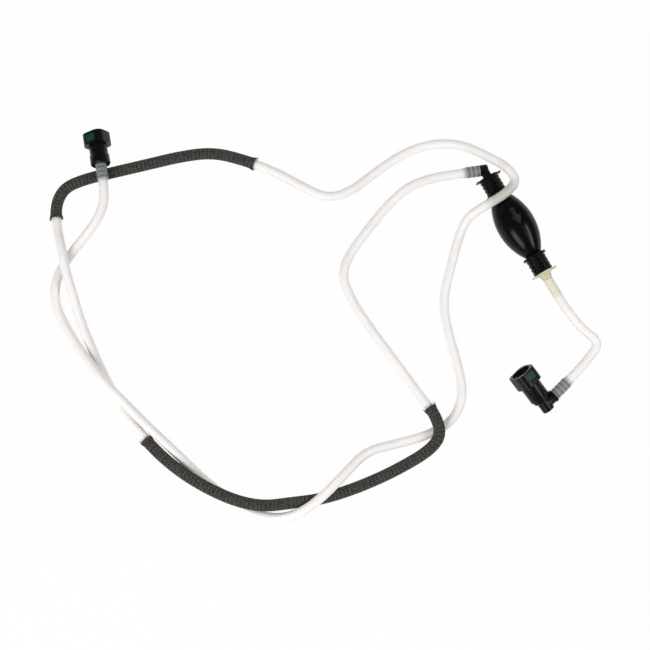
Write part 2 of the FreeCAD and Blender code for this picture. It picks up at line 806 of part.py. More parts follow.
# ---------------------------------------------------------------- hoses and braided sleeves
# A hose's route is a list of points chosen along its way. Its path is straight runs joined by
# tangent arcs, each as large as the two runs beside it allow.
LONG_HOSE_MIDDLE = [
    (-95, -54, 19), (-100, -80, 14), (-94, -108, 8), (-81, -141, 5.2), (-67, -171, 5.2),
    (-52, -190, 5.2), (-22, -195, 5.2), (18, -192, 5.2), (63, -186, 6), (106, -182, 12),
    (131, -178, 17.5), (154, -183, 17.5), (162, -202, 13), (163, -230, 7.5), (162, -260, 6.5),
    (158, -295, 6.5), (151, -328, 6.8), (139, -358, 8.5), (129, -384, 16.5), (111, -406, 18),
    (84, -427, 18), (51, -446, 12), (13, -460, 7), (-26, -466, 5.2), (-64, -469, 5.2),
    (-104, -467, 5.2), (-143, -463, 6), (-174, -456, 13), (-197, -451, 17.5), (-219, -444, 17.5),
    (-246, -438, 9), (-270, -428, 6.6), (-283, -411, 6.5), (-281, -387, 6.5), (-273, -357, 6.5),
    (-262, -317, 6.5), (-253, -283, 6.5), (-240, -249, 6.5), (-216, -223, 6.5), (-186, -198, 6.4),
    (-157, -180, 5.5), (-133, -163, 5.2), (-127, -137, 5.2), (-134, -98, 5.2), (-137, -59, 6),
    (-129, -28, 9), (-112, -5, 16), (-84, 10, 29), (-62, 21, 36), (-43, 21, 39.5),
    (-37, 1, 40.5), (-37, -22, 38), (-37, -44, 26), (-22, -62, 13), (-1, -82, 6),
    (28, -109, 5.2), (62, -121, 5.2), (97, -129, 5.2), (129, -140, 5.2), (147, -164, 5.2),
    (147, -195, 5.2), (139, -227, 5.5), (130, -261, 12), (140, -292, 18), (149, -321, 20),
    (154, -348, 17.5), (149, -375, 5.2), (131, -397, 5.2), (107, -411, 5.2), (76, -426, 5.2),
    (31, -440, 6), (-8, -453, 12), (-40, -462, 17), (-69, -471, 17), (-100, -476, 13),
    (-135, -480, 6), (-170, -480, 5.2), (-195, -468, 5.2), (-212, -443, 5.2), (-222, -418, 8),
    (-229, -399, 14), (-241, -381, 20),
]
SHORT_HOSE_MIDDLE = [(113, 2, 21), (131, 6, 19.5), (150, 15, 17), (160, -6, 13.5)]
HOSE_START_RUN = 24.0
TAIL_RUN = 27.0


def hose_path(points):
    """Edges of straight runs and tangent arcs through a route, and the arcs' radii."""
    points = [Vector(*p) for p in points]
    edges = []
    radii = []
    at = points[0]
    for before, corner, after in zip(points, points[1:], points[2:]):
        come = (corner - before).normalize()
        go = (after - corner).normalize()
        turn_angle = come.getAngle(go)
        reach = 0.45 * min((corner - before).Length, (after - corner).Length)
        start = corner - come * reach
        end = corner + go * reach
        radius = reach / math.tan(turn_angle / 2)
        middle_out = (go - come).normalize()
        bulge = radius / math.cos(turn_angle / 2) - radius
        edges.append(Part.LineSegment(at, start).toShape())
        edges.append(Part.Arc(start, corner + middle_out * bulge, end).toShape())
        radii.append(radius)
        at = end
    edges.append(Part.LineSegment(at, points[-1]).toShape())
    return edges, radii


def stretch(edges, start, end):
    """The part of a path between two distances along it."""
    kept = []
    at = 0.0
    for edge in edges:
        length = edge.Length
        low = max(start - at, 0.0)
        high = min(end - at, length)
        if high - low > 1e-6:
            first = edge.getParameterByLength(low) if low > 0 else edge.FirstParameter
            last = edge.getParameterByLength(high) if high < length else edge.LastParameter
            kept.append(edge.Curve.toShape(first, last))
        at += length
    return kept


def tube(edges, outer, inner):
    """A tube along a path, checked against its section times its length."""
    wire = Part.Wire(edges)
    ends = (
        (edges[0], edges[0].FirstParameter),
        (edges[-1], edges[-1].LastParameter),
    )
    faces = []
    for edge, parameter in ends:
        point = edge.valueAt(parameter)
        way = edge.tangentAt(parameter)
        rings = [Part.Wire(Part.makeCircle(r, point, way)) for r in (outer, inner)]
        faces.append(Part.Face(rings))
        if edge is edges[0]:
            walls = [wire.makePipeShell([ring_wire], False, False) for ring_wire in rings]
    faces += walls[0].Faces
    faces += [face.reversed() for face in walls[1].Faces]
    skin = Part.makeShell(faces)
    skin.sewShape(1e-5)
    shape = Part.makeSolid(skin)
    shape.fix(1e-5, 1e-5, 1e-5)
    expected = math.pi * (outer**2 - inner**2) * wire.Length
    if abs(shape.Volume / expected - 1) > 0.01:
        raise ValueError(f"tube volume {shape.Volume:.0f} against {expected:.0f}")
    return shape


def make_tube(label, edges, outer, inner):
    thing = doc.addObject("Part::Feature", "".join(w.capitalize() for w in label.split("_")))
    thing.Shape = tube(edges, outer, inner)
    thing.Placement = Placement()
    return named(thing, label)


def make_hoses():
    outer = value("hose_radius")
    inner = value("hose_radius - hose_wall")
    leg = Rotation(Vector(0, 0, 1), 180 + value("elbow_turn")).multVec(Vector(1, 0, 0))
    knee = Vector(value("elbow_x"), 0, value("bulb_radius"))
    first = knee + leg * value("elbow_front + end_gap")
    tail = pose("straight")
    mouthward = tail.Rotation.multVec(Vector(1, 0, 0))
    last = tail.multVec(Vector(value("straight_barb + hose_socket_depth - end_gap"), 0, 0))
    long_route = [first, first + leg * HOSE_START_RUN]
    long_route += [Vector(*p) for p in LONG_HOSE_MIDDLE]
    long_route += [last - mouthward * TAIL_RUN, last]

    socket_start = value("belly_x + belly_half + neck_length + slip + flange_thick + cone_length")
    short_first = Vector(socket_start + value("end_gap"), 0, value("bulb_radius"))
    elbow = pose("elbow")
    along = elbow.Rotation.multiply(branch_rotation()).multVec(Vector(1, 0, 0))
    short_last = elbow.Base + along * value("branch_length + end_gap")
    short_route = [short_first, short_first + Vector(HOSE_START_RUN, 0, 0)]
    short_route += [Vector(*p) for p in SHORT_HOSE_MIDDLE]
    short_route += [short_last + along * HOSE_START_RUN, short_last]

    long_edges, long_radii = hose_path(long_route)
    short_edges, short_radii = hose_path(short_route)
    make_tube("long_hose", long_edges, outer, inner)
    make_tube("short_hose", short_edges, outer, inner)
    for name, route, edges, radii in (
        ("long hose", long_route, long_edges, long_radii),
        ("short hose", short_route, short_edges, short_radii),
    ):
        print(name, "length", round(sum(e.Length for e in edges)),
              "radii", [round(r) for r in radii])
        for place, point in (("first", route[0]), ("second", route[1]),
                             ("last but one", route[-2]), ("last", route[-1])):
            print("  ", place, [round(c, 1) for c in point])

    inside = value("hose_radius + braid_gap")
    outside = value("hose_radius + braid_gap + braid_wall")
    for which in ("lower", "upper"):
        span = stretch(long_edges, value(f"{which}_braid_start"), value(f"{which}_braid_end"))
        make_tube(f"{which}_braided_sleeve", span, outside, inside)


# ---------------------------------------------------------------- build and export
make_bulb()
make_arrow()
make_sleeve("InletSleeve", "inlet_clamp_sleeve",
            "belly_x - belly_half - neck_length", False)
make_sleeve("OutletSleeve", "outlet_clamp_sleeve",
            "belly_x + belly_half + neck_length", True)
make_inlet_elbow()
make_outlet_stem()
make_valves()
make_straight_connector()
make_elbow_connector()
make_hoses()
doc.recompute()

failed = [t.Name for t in doc.Objects if "Invalid" in t.State or "Error" in t.State]
if failed:
    raise ValueError(f"failed objects: {failed}")
for node in NODES:
    if node.Shape.isNull() or not node.Shape.isValid() or not node.Shape.Solids:
        raise ValueError(f"{node.Label} has no valid shape")
for node in NODES:
    node.Shape.exportStep(f"parts/{node.Label}.step")
    box = node.Shape.BoundBox
    print(f"{node.Label}: {len(node.Shape.Solids)} solid, {node.Shape.Volume:.0f} mm3, "
          f"x {box.XMin:.1f} to {box.XMax:.1f}, y {box.YMin:.1f} to {box.YMax:.1f}, "
          f"z {box.ZMin:.1f} to {box.ZMax:.1f}")
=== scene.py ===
# %% [markdown]
# # A hand primer pump for a fuel line
# This lesson dresses a measured model of a small fuel primer: a black rubber squeeze bulb, two
# milky nylon hoses, two braided sleeves and a quick connector on each hose's far end.
# The measured model comes in first and never moves. Every piece made here is in metres, in the
# same frame: +Z is up, the floor is at z = 0, and +X runs along the bulb with the flow.

# %% Load the measured model
import json
import math
from functools import partial

import bmesh
import bpy
import numpy as np
from mathutils import Matrix, Vector


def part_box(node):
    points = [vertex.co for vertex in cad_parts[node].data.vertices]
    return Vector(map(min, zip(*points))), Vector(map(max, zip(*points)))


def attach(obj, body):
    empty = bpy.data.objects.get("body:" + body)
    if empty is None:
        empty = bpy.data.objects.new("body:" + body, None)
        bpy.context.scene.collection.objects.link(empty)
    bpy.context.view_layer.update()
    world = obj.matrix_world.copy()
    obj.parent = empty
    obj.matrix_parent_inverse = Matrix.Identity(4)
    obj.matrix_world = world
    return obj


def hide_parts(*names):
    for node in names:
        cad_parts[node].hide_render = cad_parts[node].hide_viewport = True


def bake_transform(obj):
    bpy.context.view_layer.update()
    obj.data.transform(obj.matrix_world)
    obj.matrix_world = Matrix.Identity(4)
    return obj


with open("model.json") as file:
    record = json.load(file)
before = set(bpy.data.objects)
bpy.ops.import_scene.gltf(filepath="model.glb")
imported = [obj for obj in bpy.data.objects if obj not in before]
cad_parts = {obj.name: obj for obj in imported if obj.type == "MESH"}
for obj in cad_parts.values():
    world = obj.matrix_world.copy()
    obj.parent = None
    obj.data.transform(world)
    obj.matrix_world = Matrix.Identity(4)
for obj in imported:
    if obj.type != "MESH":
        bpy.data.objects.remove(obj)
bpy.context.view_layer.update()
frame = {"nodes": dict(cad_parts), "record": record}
scene = bpy.context.scene

# %% [markdown]
# ## The camera
# The pump lies on a table and is seen from almost straight above. A long lens keeps the loops
# round. The camera is built from three directions: where it looks, what runs across the picture,
# and what is left for up.

# %% Place the camera
def looking(place, target, across):
    """A camera matrix at place that looks at target, with across running to the right."""
    ahead = (target - place).normalized()
    right = (across - ahead * across.dot(ahead)).normalized()
    turn = Matrix((right, right.cross(ahead), -ahead)).transposed()
    return Matrix.Translation(place) @ turn.to_4x4()


camera = bpy.data.objects.new("Camera", bpy.data.cameras.new("Camera"))
scene.collection.objects.link(camera)
camera.data.lens = 76.9
camera.matrix_world = looking(
    Vector((0.1951, -0.3470, 1.4915)), Vector((-0.0103, -0.2336, 0.0100)),
    Vector((0.4835, 0.8755, 0)))
scene.camera = camera
scene.view_settings.view_transform = "Standard"
print("camera", [round(x, 3) for x in camera.location])

# %% [markdown]
# ## The hoses' routes
# A hose that has been in a bag keeps soft, uneven bends. One smooth NURBS curve runs through
# each hose, and everything on that hose reads its place from the curve: the tube, its swollen
# ends and the braided sleeves. The control points are given one by one, a few centimetres apart.

# %% Routes, in metres
LONG_ROUTE = [
    (-0.0761, -0.0042, 0.021), (-0.0847, -0.0266, 0.021), (-0.095, -0.054, 0.019),
    (-0.1, -0.08, 0.014), (-0.094, -0.108, 0.008), (-0.081, -0.141, 0.0052),
    (-0.067, -0.171, 0.0052), (-0.052, -0.19, 0.0052), (-0.022, -0.195, 0.0052),
    (0.018, -0.192, 0.0052), (0.063, -0.186, 0.006), (0.106, -0.182, 0.012),
    (0.131, -0.178, 0.0175), (0.154, -0.183, 0.0175), (0.162, -0.202, 0.013),
    (0.163, -0.23, 0.0075), (0.162, -0.26, 0.0065), (0.158, -0.295, 0.0065),
    (0.151, -0.328, 0.0068), (0.139, -0.358, 0.0085), (0.129, -0.384, 0.0165),
    (0.111, -0.406, 0.018), (0.084, -0.427, 0.018), (0.051, -0.446, 0.012), (0.013, -0.46, 0.007),
    (-0.026, -0.466, 0.0052), (-0.064, -0.469, 0.0052), (-0.104, -0.467, 0.0052),
    (-0.143, -0.463, 0.006), (-0.174, -0.456, 0.013), (-0.197, -0.451, 0.0175),
    (-0.219, -0.444, 0.0175), (-0.246, -0.438, 0.009), (-0.27, -0.428, 0.0066),
    (-0.283, -0.411, 0.0065), (-0.281, -0.387, 0.0065), (-0.273, -0.357, 0.0065),
    (-0.262, -0.317, 0.0065), (-0.253, -0.283, 0.0065), (-0.24, -0.249, 0.0065),
    (-0.216, -0.223, 0.0065), (-0.186, -0.198, 0.0064), (-0.157, -0.18, 0.0055),
    (-0.133, -0.163, 0.0052), (-0.127, -0.137, 0.0052), (-0.134, -0.098, 0.0052),
    (-0.137, -0.059, 0.006), (-0.129, -0.028, 0.009), (-0.112, -0.005, 0.016),
    (-0.084, 0.01, 0.029), (-0.062, 0.021, 0.036), (-0.043, 0.021, 0.0395),
    (-0.037, 0.001, 0.0405), (-0.037, -0.022, 0.038), (-0.037, -0.044, 0.026),
    (-0.022, -0.062, 0.013), (-0.001, -0.082, 0.006), (0.028, -0.109, 0.0052),
    (0.062, -0.121, 0.0052), (0.097, -0.129, 0.0052), (0.129, -0.14, 0.0052),
    (0.147, -0.164, 0.0052), (0.147, -0.195, 0.0052), (0.139, -0.227, 0.0055),
    (0.13, -0.261, 0.012), (0.14, -0.292, 0.018), (0.149, -0.321, 0.02), (0.154, -0.348, 0.0175),
    (0.149, -0.375, 0.0052), (0.131, -0.397, 0.0052), (0.107, -0.411, 0.0052),
    (0.076, -0.426, 0.0052), (0.031, -0.44, 0.006), (-0.008, -0.453, 0.012),
    (-0.04, -0.462, 0.017), (-0.069, -0.471, 0.017), (-0.1, -0.476, 0.013),
    (-0.135, -0.48, 0.006), (-0.17, -0.48, 0.0052), (-0.195, -0.468, 0.0052),
    (-0.212, -0.443, 0.0052), (-0.222, -0.418, 0.008), (-0.229, -0.399, 0.014),
    (-0.241, -0.381, 0.02), (-0.2598, -0.3707, 0.0211), (-0.2854, -0.3623, 0.0185),
]
SHORT_ROUTE = [
    (0.0637, 0.0, 0.021), (0.0877, 0.0, 0.021), (0.113, 0.002, 0.021), (0.131, 0.006, 0.0195),
    (0.15, 0.015, 0.017), (0.16, -0.006, 0.0135), (0.1684, -0.032, 0.0114),
    (0.175, -0.055, 0.0098),
]

# %% [markdown]
# Blender draws a NURBS curve from its control points. A curve with no bevel turned into a mesh
# is a chain of points on that line, so the mesh is the way to read the line's own places. The
# order and the end rule are set after the points are there, or they have no effect.

# %% Read the smooth lines
def add(name, data):
    """A new object in the scene."""
    made = bpy.data.objects.new(name, data)
    scene.collection.objects.link(made)
    return made


def evaluated(made):
    """The mesh that an object shows, with its modifiers done."""
    bpy.context.view_layer.update()
    shown = made.evaluated_get(bpy.context.evaluated_depsgraph_get())
    return bpy.data.meshes.new_from_object(shown)


def smooth_line(points):
    """The places on the smooth curve that its control points shape."""
    curve = bpy.data.curves.new("route", "CURVE")
    curve.dimensions = "3D"
    spline = curve.splines.new("NURBS")
    spline.points.add(len(points) - 1)
    for control, place in zip(spline.points, points):
        control.co = (*place, 1)
    spline.order_u = 3
    spline.use_endpoint_u = True
    spline.resolution_u = 24
    curve.resolution_u = 24
    drawn = add("route", curve)
    mesh = evaluated(drawn)
    bpy.data.objects.remove(drawn)
    line = np.array([v.co for v in mesh.vertices])
    bpy.data.meshes.remove(mesh)
    return line


def lengths(line):
    """The distance along a line of each of its points."""
    return np.r_[0, np.cumsum(np.linalg.norm(np.diff(line, axis=0), axis=1))]


long_line, short_line = smooth_line(LONG_ROUTE), smooth_line(SHORT_ROUTE)
LONG_LENGTH, SHORT_LENGTH = lengths(long_line)[-1], lengths(short_line)[-1]
print(f"long hose {LONG_LENGTH:.3f} m, short hose {SHORT_LENGTH:.3f} m")

# %% [markdown]
# A tube needs a ring of points round the line at each station. The rings must not twist, so the
# sideways direction is carried from each station to the next and only straightened a little.

# %% Places and directions along a line
def stations_on(line, stations):
    """Places, directions and two sideways directions at distances along a line."""
    along = lengths(line)
    places = np.stack([np.interp(stations, along, line[:, k]) for k in range(3)], 1)
    ahead = np.gradient(places, stations, axis=0)
    ahead /= np.linalg.norm(ahead, axis=1)[:, None]
    side = np.cross(ahead[0], (0.0, 0.0, 1.0))
    sides = []
    for direction in ahead:
        side = side - direction * side.dot(direction)
        side = side / np.linalg.norm(side)
        sides.append(side)
    sides = np.array(sides)
    return places, ahead, sides, np.cross(ahead, sides)


def pipe(name, line, stations, outer, inner, around=24, **values):
    """A closed tube with a bore. Values hold one number for each station, kept as attributes."""
    places, _, sides, ups = stations_on(line, stations)
    count, last = len(stations), len(stations) - 1
    angles = (np.arange(around) * 2 * math.pi / around)[None, :, None]
    ring = sides[:, None] * np.cos(angles) + ups[:, None] * np.sin(angles)
    shells = [places[:, None] + ring * np.broadcast_to(radius, count)[:, None, None]
              for radius in (outer, inner)]
    corners = np.concatenate([shell.reshape(-1, 3) for shell in shells])
    faces = []
    at = lambda shell, i, j: (shell * count + i) * around + j % around
    for i in range(last):
        for j in range(around):
            faces.append((at(0, i, j), at(0, i, j + 1), at(0, i + 1, j + 1), at(0, i + 1, j)))
            faces.append((at(1, i, j), at(1, i + 1, j), at(1, i + 1, j + 1), at(1, i, j + 1)))
    for j in range(around):
        faces.append((at(0, 0, j), at(1, 0, j), at(1, 0, j + 1), at(0, 0, j + 1)))
        faces.append((at(0, last, j), at(0, last, j + 1), at(1, last, j + 1), at(1, last, j)))
    mesh = bpy.data.meshes.new(name)
    mesh.from_pydata(corners.tolist(), [], faces)
    for label, numbers in values.items():
        on_corners = np.tile(np.repeat(numbers, around), 2).astype(np.float32)
        mesh.attributes.new(label, "FLOAT", "POINT").data.foreach_set("value", on_corners)
    mesh.shade_smooth()
    mesh.set_sharp_from_angle(angle=math.radians(50))
    return add(name, mesh)


print("station tools ready")

# %% [markdown]
# ## Finishes
# Six finishes make up nearly all that is seen: gloss rubber, satin black plastic, cream plastic,
# green plastic, milky nylon and black braid. Small parts take a few more, such as seal rubber and
# steel. They share two effects, so each effect is one node group: a moulded skin, with slow
# mottling and a fine grain, and a scatter of pale dust flecks.

# %% Small tools for node trees
def tone(red, green, blue):
    """A colour as seen on a screen, 0 to 255, as the linear value that shaders use."""
    shares = [c / 255 for c in (red, green, blue)]
    return (*(((c + 0.055) / 1.055) ** 2.4 if c > 0.04 else c / 12.92 for c in shares), 1)


def join(tree, value, socket):
    """Puts a link or a plain value into a socket."""
    if isinstance(value, bpy.types.NodeSocket):
        tree.links.new(value, socket)
    elif value is not None:
        socket.default_value = value


def calc(tree, operation, *values, vector=False):
    """One math node. Returns its result."""
    node = tree.nodes.new("ShaderNodeVectorMath" if vector else "ShaderNodeMath")
    node.operation = operation
    spots = [s for s in node.inputs if s.enabled]
    if vector and operation == "SCALE":
        spots = [node.inputs["Vector"], node.inputs["Scale"]]
    for value, spot in zip(values, spots):
        join(tree, value, spot)
    return next(s for s in node.outputs if s.enabled)


def node_of(tree, kind, inputs=(), **settings):
    """One node of any kind with its settings and inputs."""
    node = tree.nodes.new(kind)
    for label, value in settings.items():
        setattr(node, label, value)
    for label, value in dict(inputs).items():
        join(tree, value, node.inputs[label])
    return node


def new_tree(name, kind, inputs, outputs):
    """A node group with named inputs and outputs. Returns it with its two end nodes."""
    tree = bpy.data.node_groups.new(name, kind)
    for label, (socket, default) in inputs.items():
        made = tree.interface.new_socket(label, in_out="INPUT", socket_type=socket)
        if default is not None:
            made.default_value = default
    for label, socket in outputs.items():
        tree.interface.new_socket(label, in_out="OUTPUT", socket_type=socket)
    return tree, tree.nodes.new("NodeGroupInput").outputs, tree.nodes.new("NodeGroupOutput").inputs


def tools_for(tree):
    """node_of, calc and join, with the tree already chosen."""
    return partial(node_of, tree), partial(calc, tree), partial(join, tree)


NUMBER, COLOUR, PLACE = "NodeSocketFloat", "NodeSocketColor", "NodeSocketVector"
WHOLE, FINISH, SHAPE = "NodeSocketInt", "NodeSocketMaterial", "NodeSocketGeometry"
print("node tools ready")

# %% [markdown]
# Moulded plastic and rubber are never one even colour. The pellets mix unevenly, which gives
# slow clouds a few millimetres wide, and the mould leaves a fine texture. The group takes the
# two colours and two roughnesses to run between, and gives a height for a Bump node.

# %% Node group: moulded skin
skin, given, result = new_tree(
    "Moulded skin", "ShaderNodeTree",
    {"Vector": (PLACE, None), "Dark": (COLOUR, (0, 0, 0, 1)), "Light": (COLOUR, (1, 1, 1, 1)),
     "Smooth": (NUMBER, 0.3), "Rough": (NUMBER, 0.5),
     "Cloud size": (NUMBER, 90.0), "Grain size": (NUMBER, 1800.0)},
    {"Color": COLOUR, "Roughness": NUMBER, "Height": NUMBER},
)
put, reckon, link = tools_for(skin)
clouds = put("ShaderNodeTexNoise", {
    "Vector": given["Vector"], "Scale": given["Cloud size"], "Detail": 4.0})
grain = put("ShaderNodeTexNoise", {
    "Vector": given["Vector"], "Scale": given["Grain size"], "Detail": 2.0})
spread = put("ShaderNodeMapRange", {
    "Value": clouds.outputs["Fac"], "From Min": 0.35, "From Max": 0.65})
shade = put("ShaderNodeMix", data_type="RGBA")
link(spread.outputs["Result"], shade.inputs["Factor"])
link(given["Dark"], shade.inputs[6])
link(given["Light"], shade.inputs[7])
blur = put("ShaderNodeMapRange", {
    "Value": spread.outputs["Result"], "To Min": given["Smooth"], "To Max": given["Rough"]})
link(shade.outputs[2], result["Color"])
link(blur.outputs["Result"], result["Roughness"])
link(grain.outputs["Fac"], result["Height"])

# %% [markdown]
# Handled rubber and braid pick up lint and dust: tiny pale flecks, a few to a square centimetre.
# A Voronoi cell pattern gives scattered points, and a noise keeps only some of them.

# %% Node group: dust flecks
flecks, given, result = new_tree(
    "Dust flecks", "ShaderNodeTree",
    {"Vector": (PLACE, None), "Color": (COLOUR, (0, 0, 0, 1)),
     "Fleck": (COLOUR, (0.5, 0.5, 0.5, 1)), "Spacing": (NUMBER, 500.0), "Size": (NUMBER, 0.16)},
    {"Color": COLOUR},
)
put, reckon, link = tools_for(flecks)
cells = put("ShaderNodeTexVoronoi", {"Vector": given["Vector"], "Scale": given["Spacing"]})
keep = put("ShaderNodeTexNoise", {"Vector": given["Vector"], "Scale": 260.0, "Detail": 1.0})
near = reckon("LESS_THAN", cells.outputs["Distance"], given["Size"])
kept = reckon("GREATER_THAN", keep.outputs["Fac"], 0.55)
mark = put("ShaderNodeMix", data_type="RGBA")
link(reckon("MULTIPLY", near, kept), mark.inputs["Factor"])
link(given["Color"], mark.inputs[6])
link(given["Fleck"], mark.inputs[7])
link(mark.outputs[2], result["Color"])
print("groups", skin.name, "and", flecks.name)

# %% [markdown]
# One maker then builds each moulded finish: object coordinates into the skin group, and the
# group into one Principled shader. What is the same all over, such as how strongly the piece
# reflects, is set on the shader's own socket.

# %% Maker: moulded finishes
def new_finish(name):
    """A new material, its tree and its one shader."""
    finish = bpy.data.materials.new(name)
    finish.use_nodes = True
    tree = finish.node_tree
    return finish, tree, tree.nodes["Principled BSDF"]


def moulded(name, dark, light, smooth, rough, bump, cloud=90.0, grain=1800.0, dust=None, **plain):
    """Plastic or rubber from a mould, with mottling, grain and, if asked, dust flecks."""
    finish, tree, shader = new_finish(name)
    place = tree.nodes.new("ShaderNodeTexCoord").outputs["Object"]
    body = node_of(tree, "ShaderNodeGroup", node_tree=skin)
    for label, value in {"Vector": place, "Dark": tone(*dark), "Light": tone(*light),
                         "Smooth": smooth, "Rough": rough,
                         "Cloud size": cloud, "Grain size": grain}.items():
        join(tree, value, body.inputs[label])
    colour = body.outputs["Color"]
    if dust:
        specks = node_of(tree, "ShaderNodeGroup", node_tree=flecks)
        for label, value in {"Vector": place, "Color": colour, "Fleck": tone(*dust)}.items():
            join(tree, value, specks.inputs[label])
        colour = specks.outputs["Color"]
    height = node_of(tree, "ShaderNodeBump", {
        "Height": body.outputs["Height"], "Strength": 1.0, "Distance": bump})
    join(tree, colour, shader.inputs["Base Color"])
    join(tree, body.outputs["Roughness"], shader.inputs["Roughness"])
    join(tree, height.outputs["Normal"], shader.inputs["Normal"])
    for label, value in plain.items():
        shader.inputs[label.replace("_", " ")].default_value = value
    return finish


BLACK = moulded("Satin black plastic", (5, 6, 6), (10, 11, 11), 0.24, 0.36, 0.000004,
                Specular_IOR_Level=0.2)
CREAM = moulded("Cream plastic", (198, 192, 158), (218, 212, 182), 0.34, 0.48, 0.000003)
GREEN = moulded("Green latch plastic", (8, 52, 33), (15, 66, 43), 0.34, 0.46, 0.000004,
                Specular_IOR_Level=0.2)
# Painted shade: a near-black green for the latch jaws deep in the mouth.
JAW_SHADE = moulded("Shaded latch jaw", (6, 14, 11), (9, 20, 15), 0.5, 0.6, 0.000004,
              Specular_IOR_Level=0.15)
SEAL = moulded("Seal rubber", (18, 18, 18), (30, 30, 30), 0.45, 0.6, 0.00001)
STEEL = moulded("Polished steel", (168, 170, 174), (196, 198, 202), 0.14, 0.3, 0.000004,
                Metallic=1.0)
print("finishes:", [finish.name for finish in (BLACK, CREAM, GREEN, JAW_SHADE, SEAL, STEEL)])

# %% [markdown]
# The squeeze bulb is moulded in two halves, so a fine raised line runs along its crown. It is
# smoother than the plastic, with slow duller patches and a few flecks of dust. The line is a
# bump that depends only on how far a point is from the middle plane.

# %% Finish: gloss rubber
RUBBER = moulded("Gloss rubber", (3, 3, 4), (7, 7, 8), 0.17, 0.24, 0.000003, cloud=60.0,
                 dust=(40, 39, 37), Specular_IOR_Level=0.16)
tree = RUBBER.node_tree
put, reckon, link = tools_for(tree)
split = put("ShaderNodeSeparateXYZ", {"Vector": put("ShaderNodeTexCoord").outputs["Object"]})
ridge = put("ShaderNodeMapRange", {
    "Value": reckon("ABSOLUTE", split.outputs["Y"]), "From Min": 0.00025, "From Max": 0.0006,
    "To Min": 1.0, "To Max": 0.0}, interpolation_type="SMOOTHSTEP")
line_bump = put("ShaderNodeBump", {
    "Height": ridge.outputs["Result"], "Strength": 0.6, "Distance": 0.0001,
    "Normal": tree.nodes["Bump"].outputs["Normal"]})
link(line_bump.outputs["Normal"], tree.nodes["Principled BSDF"].inputs["Normal"])
# The raised arrow is painted greyer than the bulb: a painted highlight where the mark catches the
# light.
ARROW_SHEEN = moulded("Arrow rubber, painted sheen", (16, 16, 17), (34, 34, 35), 0.3, 0.5, 0.00001, cloud=400.0)
print(RUBBER.name, "with a mould line, and", ARROW_SHEEN.name, "for the raised arrow")

# %% [markdown]
# Natural nylon hose is milky: almost white, a little warm, and faintly cloudy. Where it is
# pushed over a black barb it is stretched thin and the black shows through as blue-grey, with
# the barb's edges as darker rings. Over the cream spigot it turns warm instead. Where the hose
# passes over the black bulb, elbow or clamp sleeve it is painted a little greyer: painted shade
# for the dark below it. The tube mesh carries those zones as numbers, and the finish mixes its
# colours by them.

# %% Finish: milky nylon
def mixed(tree, share, first, second):
    """Two colours mixed by a share of the second."""
    node = node_of(tree, "ShaderNodeMix", {"Factor": share}, data_type="RGBA")
    join(tree, first, node.inputs[6])
    join(tree, second, node.inputs[7])
    return node.outputs[2]


def attribute(tree, label):
    """A number that the mesh carries under this name."""
    return node_of(tree, "ShaderNodeAttribute", attribute_name=label).outputs["Fac"]


NYLON = moulded("Milky nylon", (243, 238, 235), (248, 244, 241), 0.34, 0.42, 0.0000005,
                cloud=28.0, grain=900.0)
tree = NYLON.node_tree
shader = tree.nodes["Principled BSDF"]
plain = shader.inputs["Base Color"].links[0].from_socket
over_black = mixed(tree, attribute(tree, "ring"), tone(134, 139, 141), tone(88, 92, 95))
# Painted shade: the hose is greyer where a black piece lies below it.
shaded = mixed(tree, attribute(tree, "dark_below"), plain, tone(190, 190, 181))
colour = mixed(tree, attribute(tree, "black_under"), shaded, over_black)
colour = mixed(tree, attribute(tree, "cream_under"), colour, tone(224, 219, 193))
join(tree, colour, shader.inputs["Base Color"])
print(NYLON.name, "reads dark_below, black_under, ring and cream_under")

# %% [markdown]
# Braided sleeving is flat bundles of polyester filament. Each bundle is charcoal with a dull
# sheen, and it catches the light where it comes out on top of a crossing. The weave carries
# that as a number called crest, and the finish paints a pale highlight there, broken up by a
# noise, so the braid is dark with a lattice of painted pale specks.

# %% Finish: polyester braid
BRAID = moulded("Polyester braid", (10, 10, 9), (22, 22, 21), 0.5, 0.7, 0.00006, cloud=900.0,
                grain=4200.0, dust=(110, 107, 100), Specular_IOR_Level=0.2)
tree = BRAID.node_tree
shader = tree.nodes["Principled BSDF"]
plain = shader.inputs["Base Color"].links[0].from_socket
crest_breakup = node_of(tree, "ShaderNodeTexNoise", {
    "Vector": node_of(tree, "ShaderNodeTexCoord").outputs["Object"], "Scale": 420.0, "Detail": 2.0})
patchy = node_of(tree, "ShaderNodeMapRange", {
    "Value": crest_breakup.outputs["Fac"], "From Min": 0.36, "From Max": 0.6, "To Min": 0.5, "To Max": 1.0})
# Painted highlight: the crests of the bundles are mixed towards pale grey.
speck = calc(tree, "MULTIPLY", attribute(tree, "crest"), patchy.outputs["Result"])
join(tree, mixed(tree, speck, plain, tone(140, 138, 130)), shader.inputs["Base Color"])
FRAY = moulded("Frayed filament", (44, 38, 34), (112, 98, 86), 0.5, 0.7, 0.00002, cloud=700.0)
print(BRAID.name, "reads crest, and", FRAY.name, "is for the cut ends")

# %% [markdown]
# ## The squeeze bulb
# The bulb is one shape that follows a rule: a barrel whose side is an arc, running out into two
# straight necks. Geometry Nodes can make it from its sizes alone. A flat grid is rolled up: one
# way round the axis, the other way along the outside and back through the bore. Then the seams
# are welded, so the skin is closed.

# %% Sizes read from the measured bulb
low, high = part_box("bulb")
AXIS_HEIGHT = (low.z + high.z) / 2
BELLY_RADIUS = (high.z - low.z) / 2
BULB_START, BULB_END = low.x, high.x
print(f"axis height {AXIS_HEIGHT:.4f}, belly radius {BELLY_RADIUS:.4f},",
      f"from {BULB_START:.4f} to {BULB_END:.4f}")

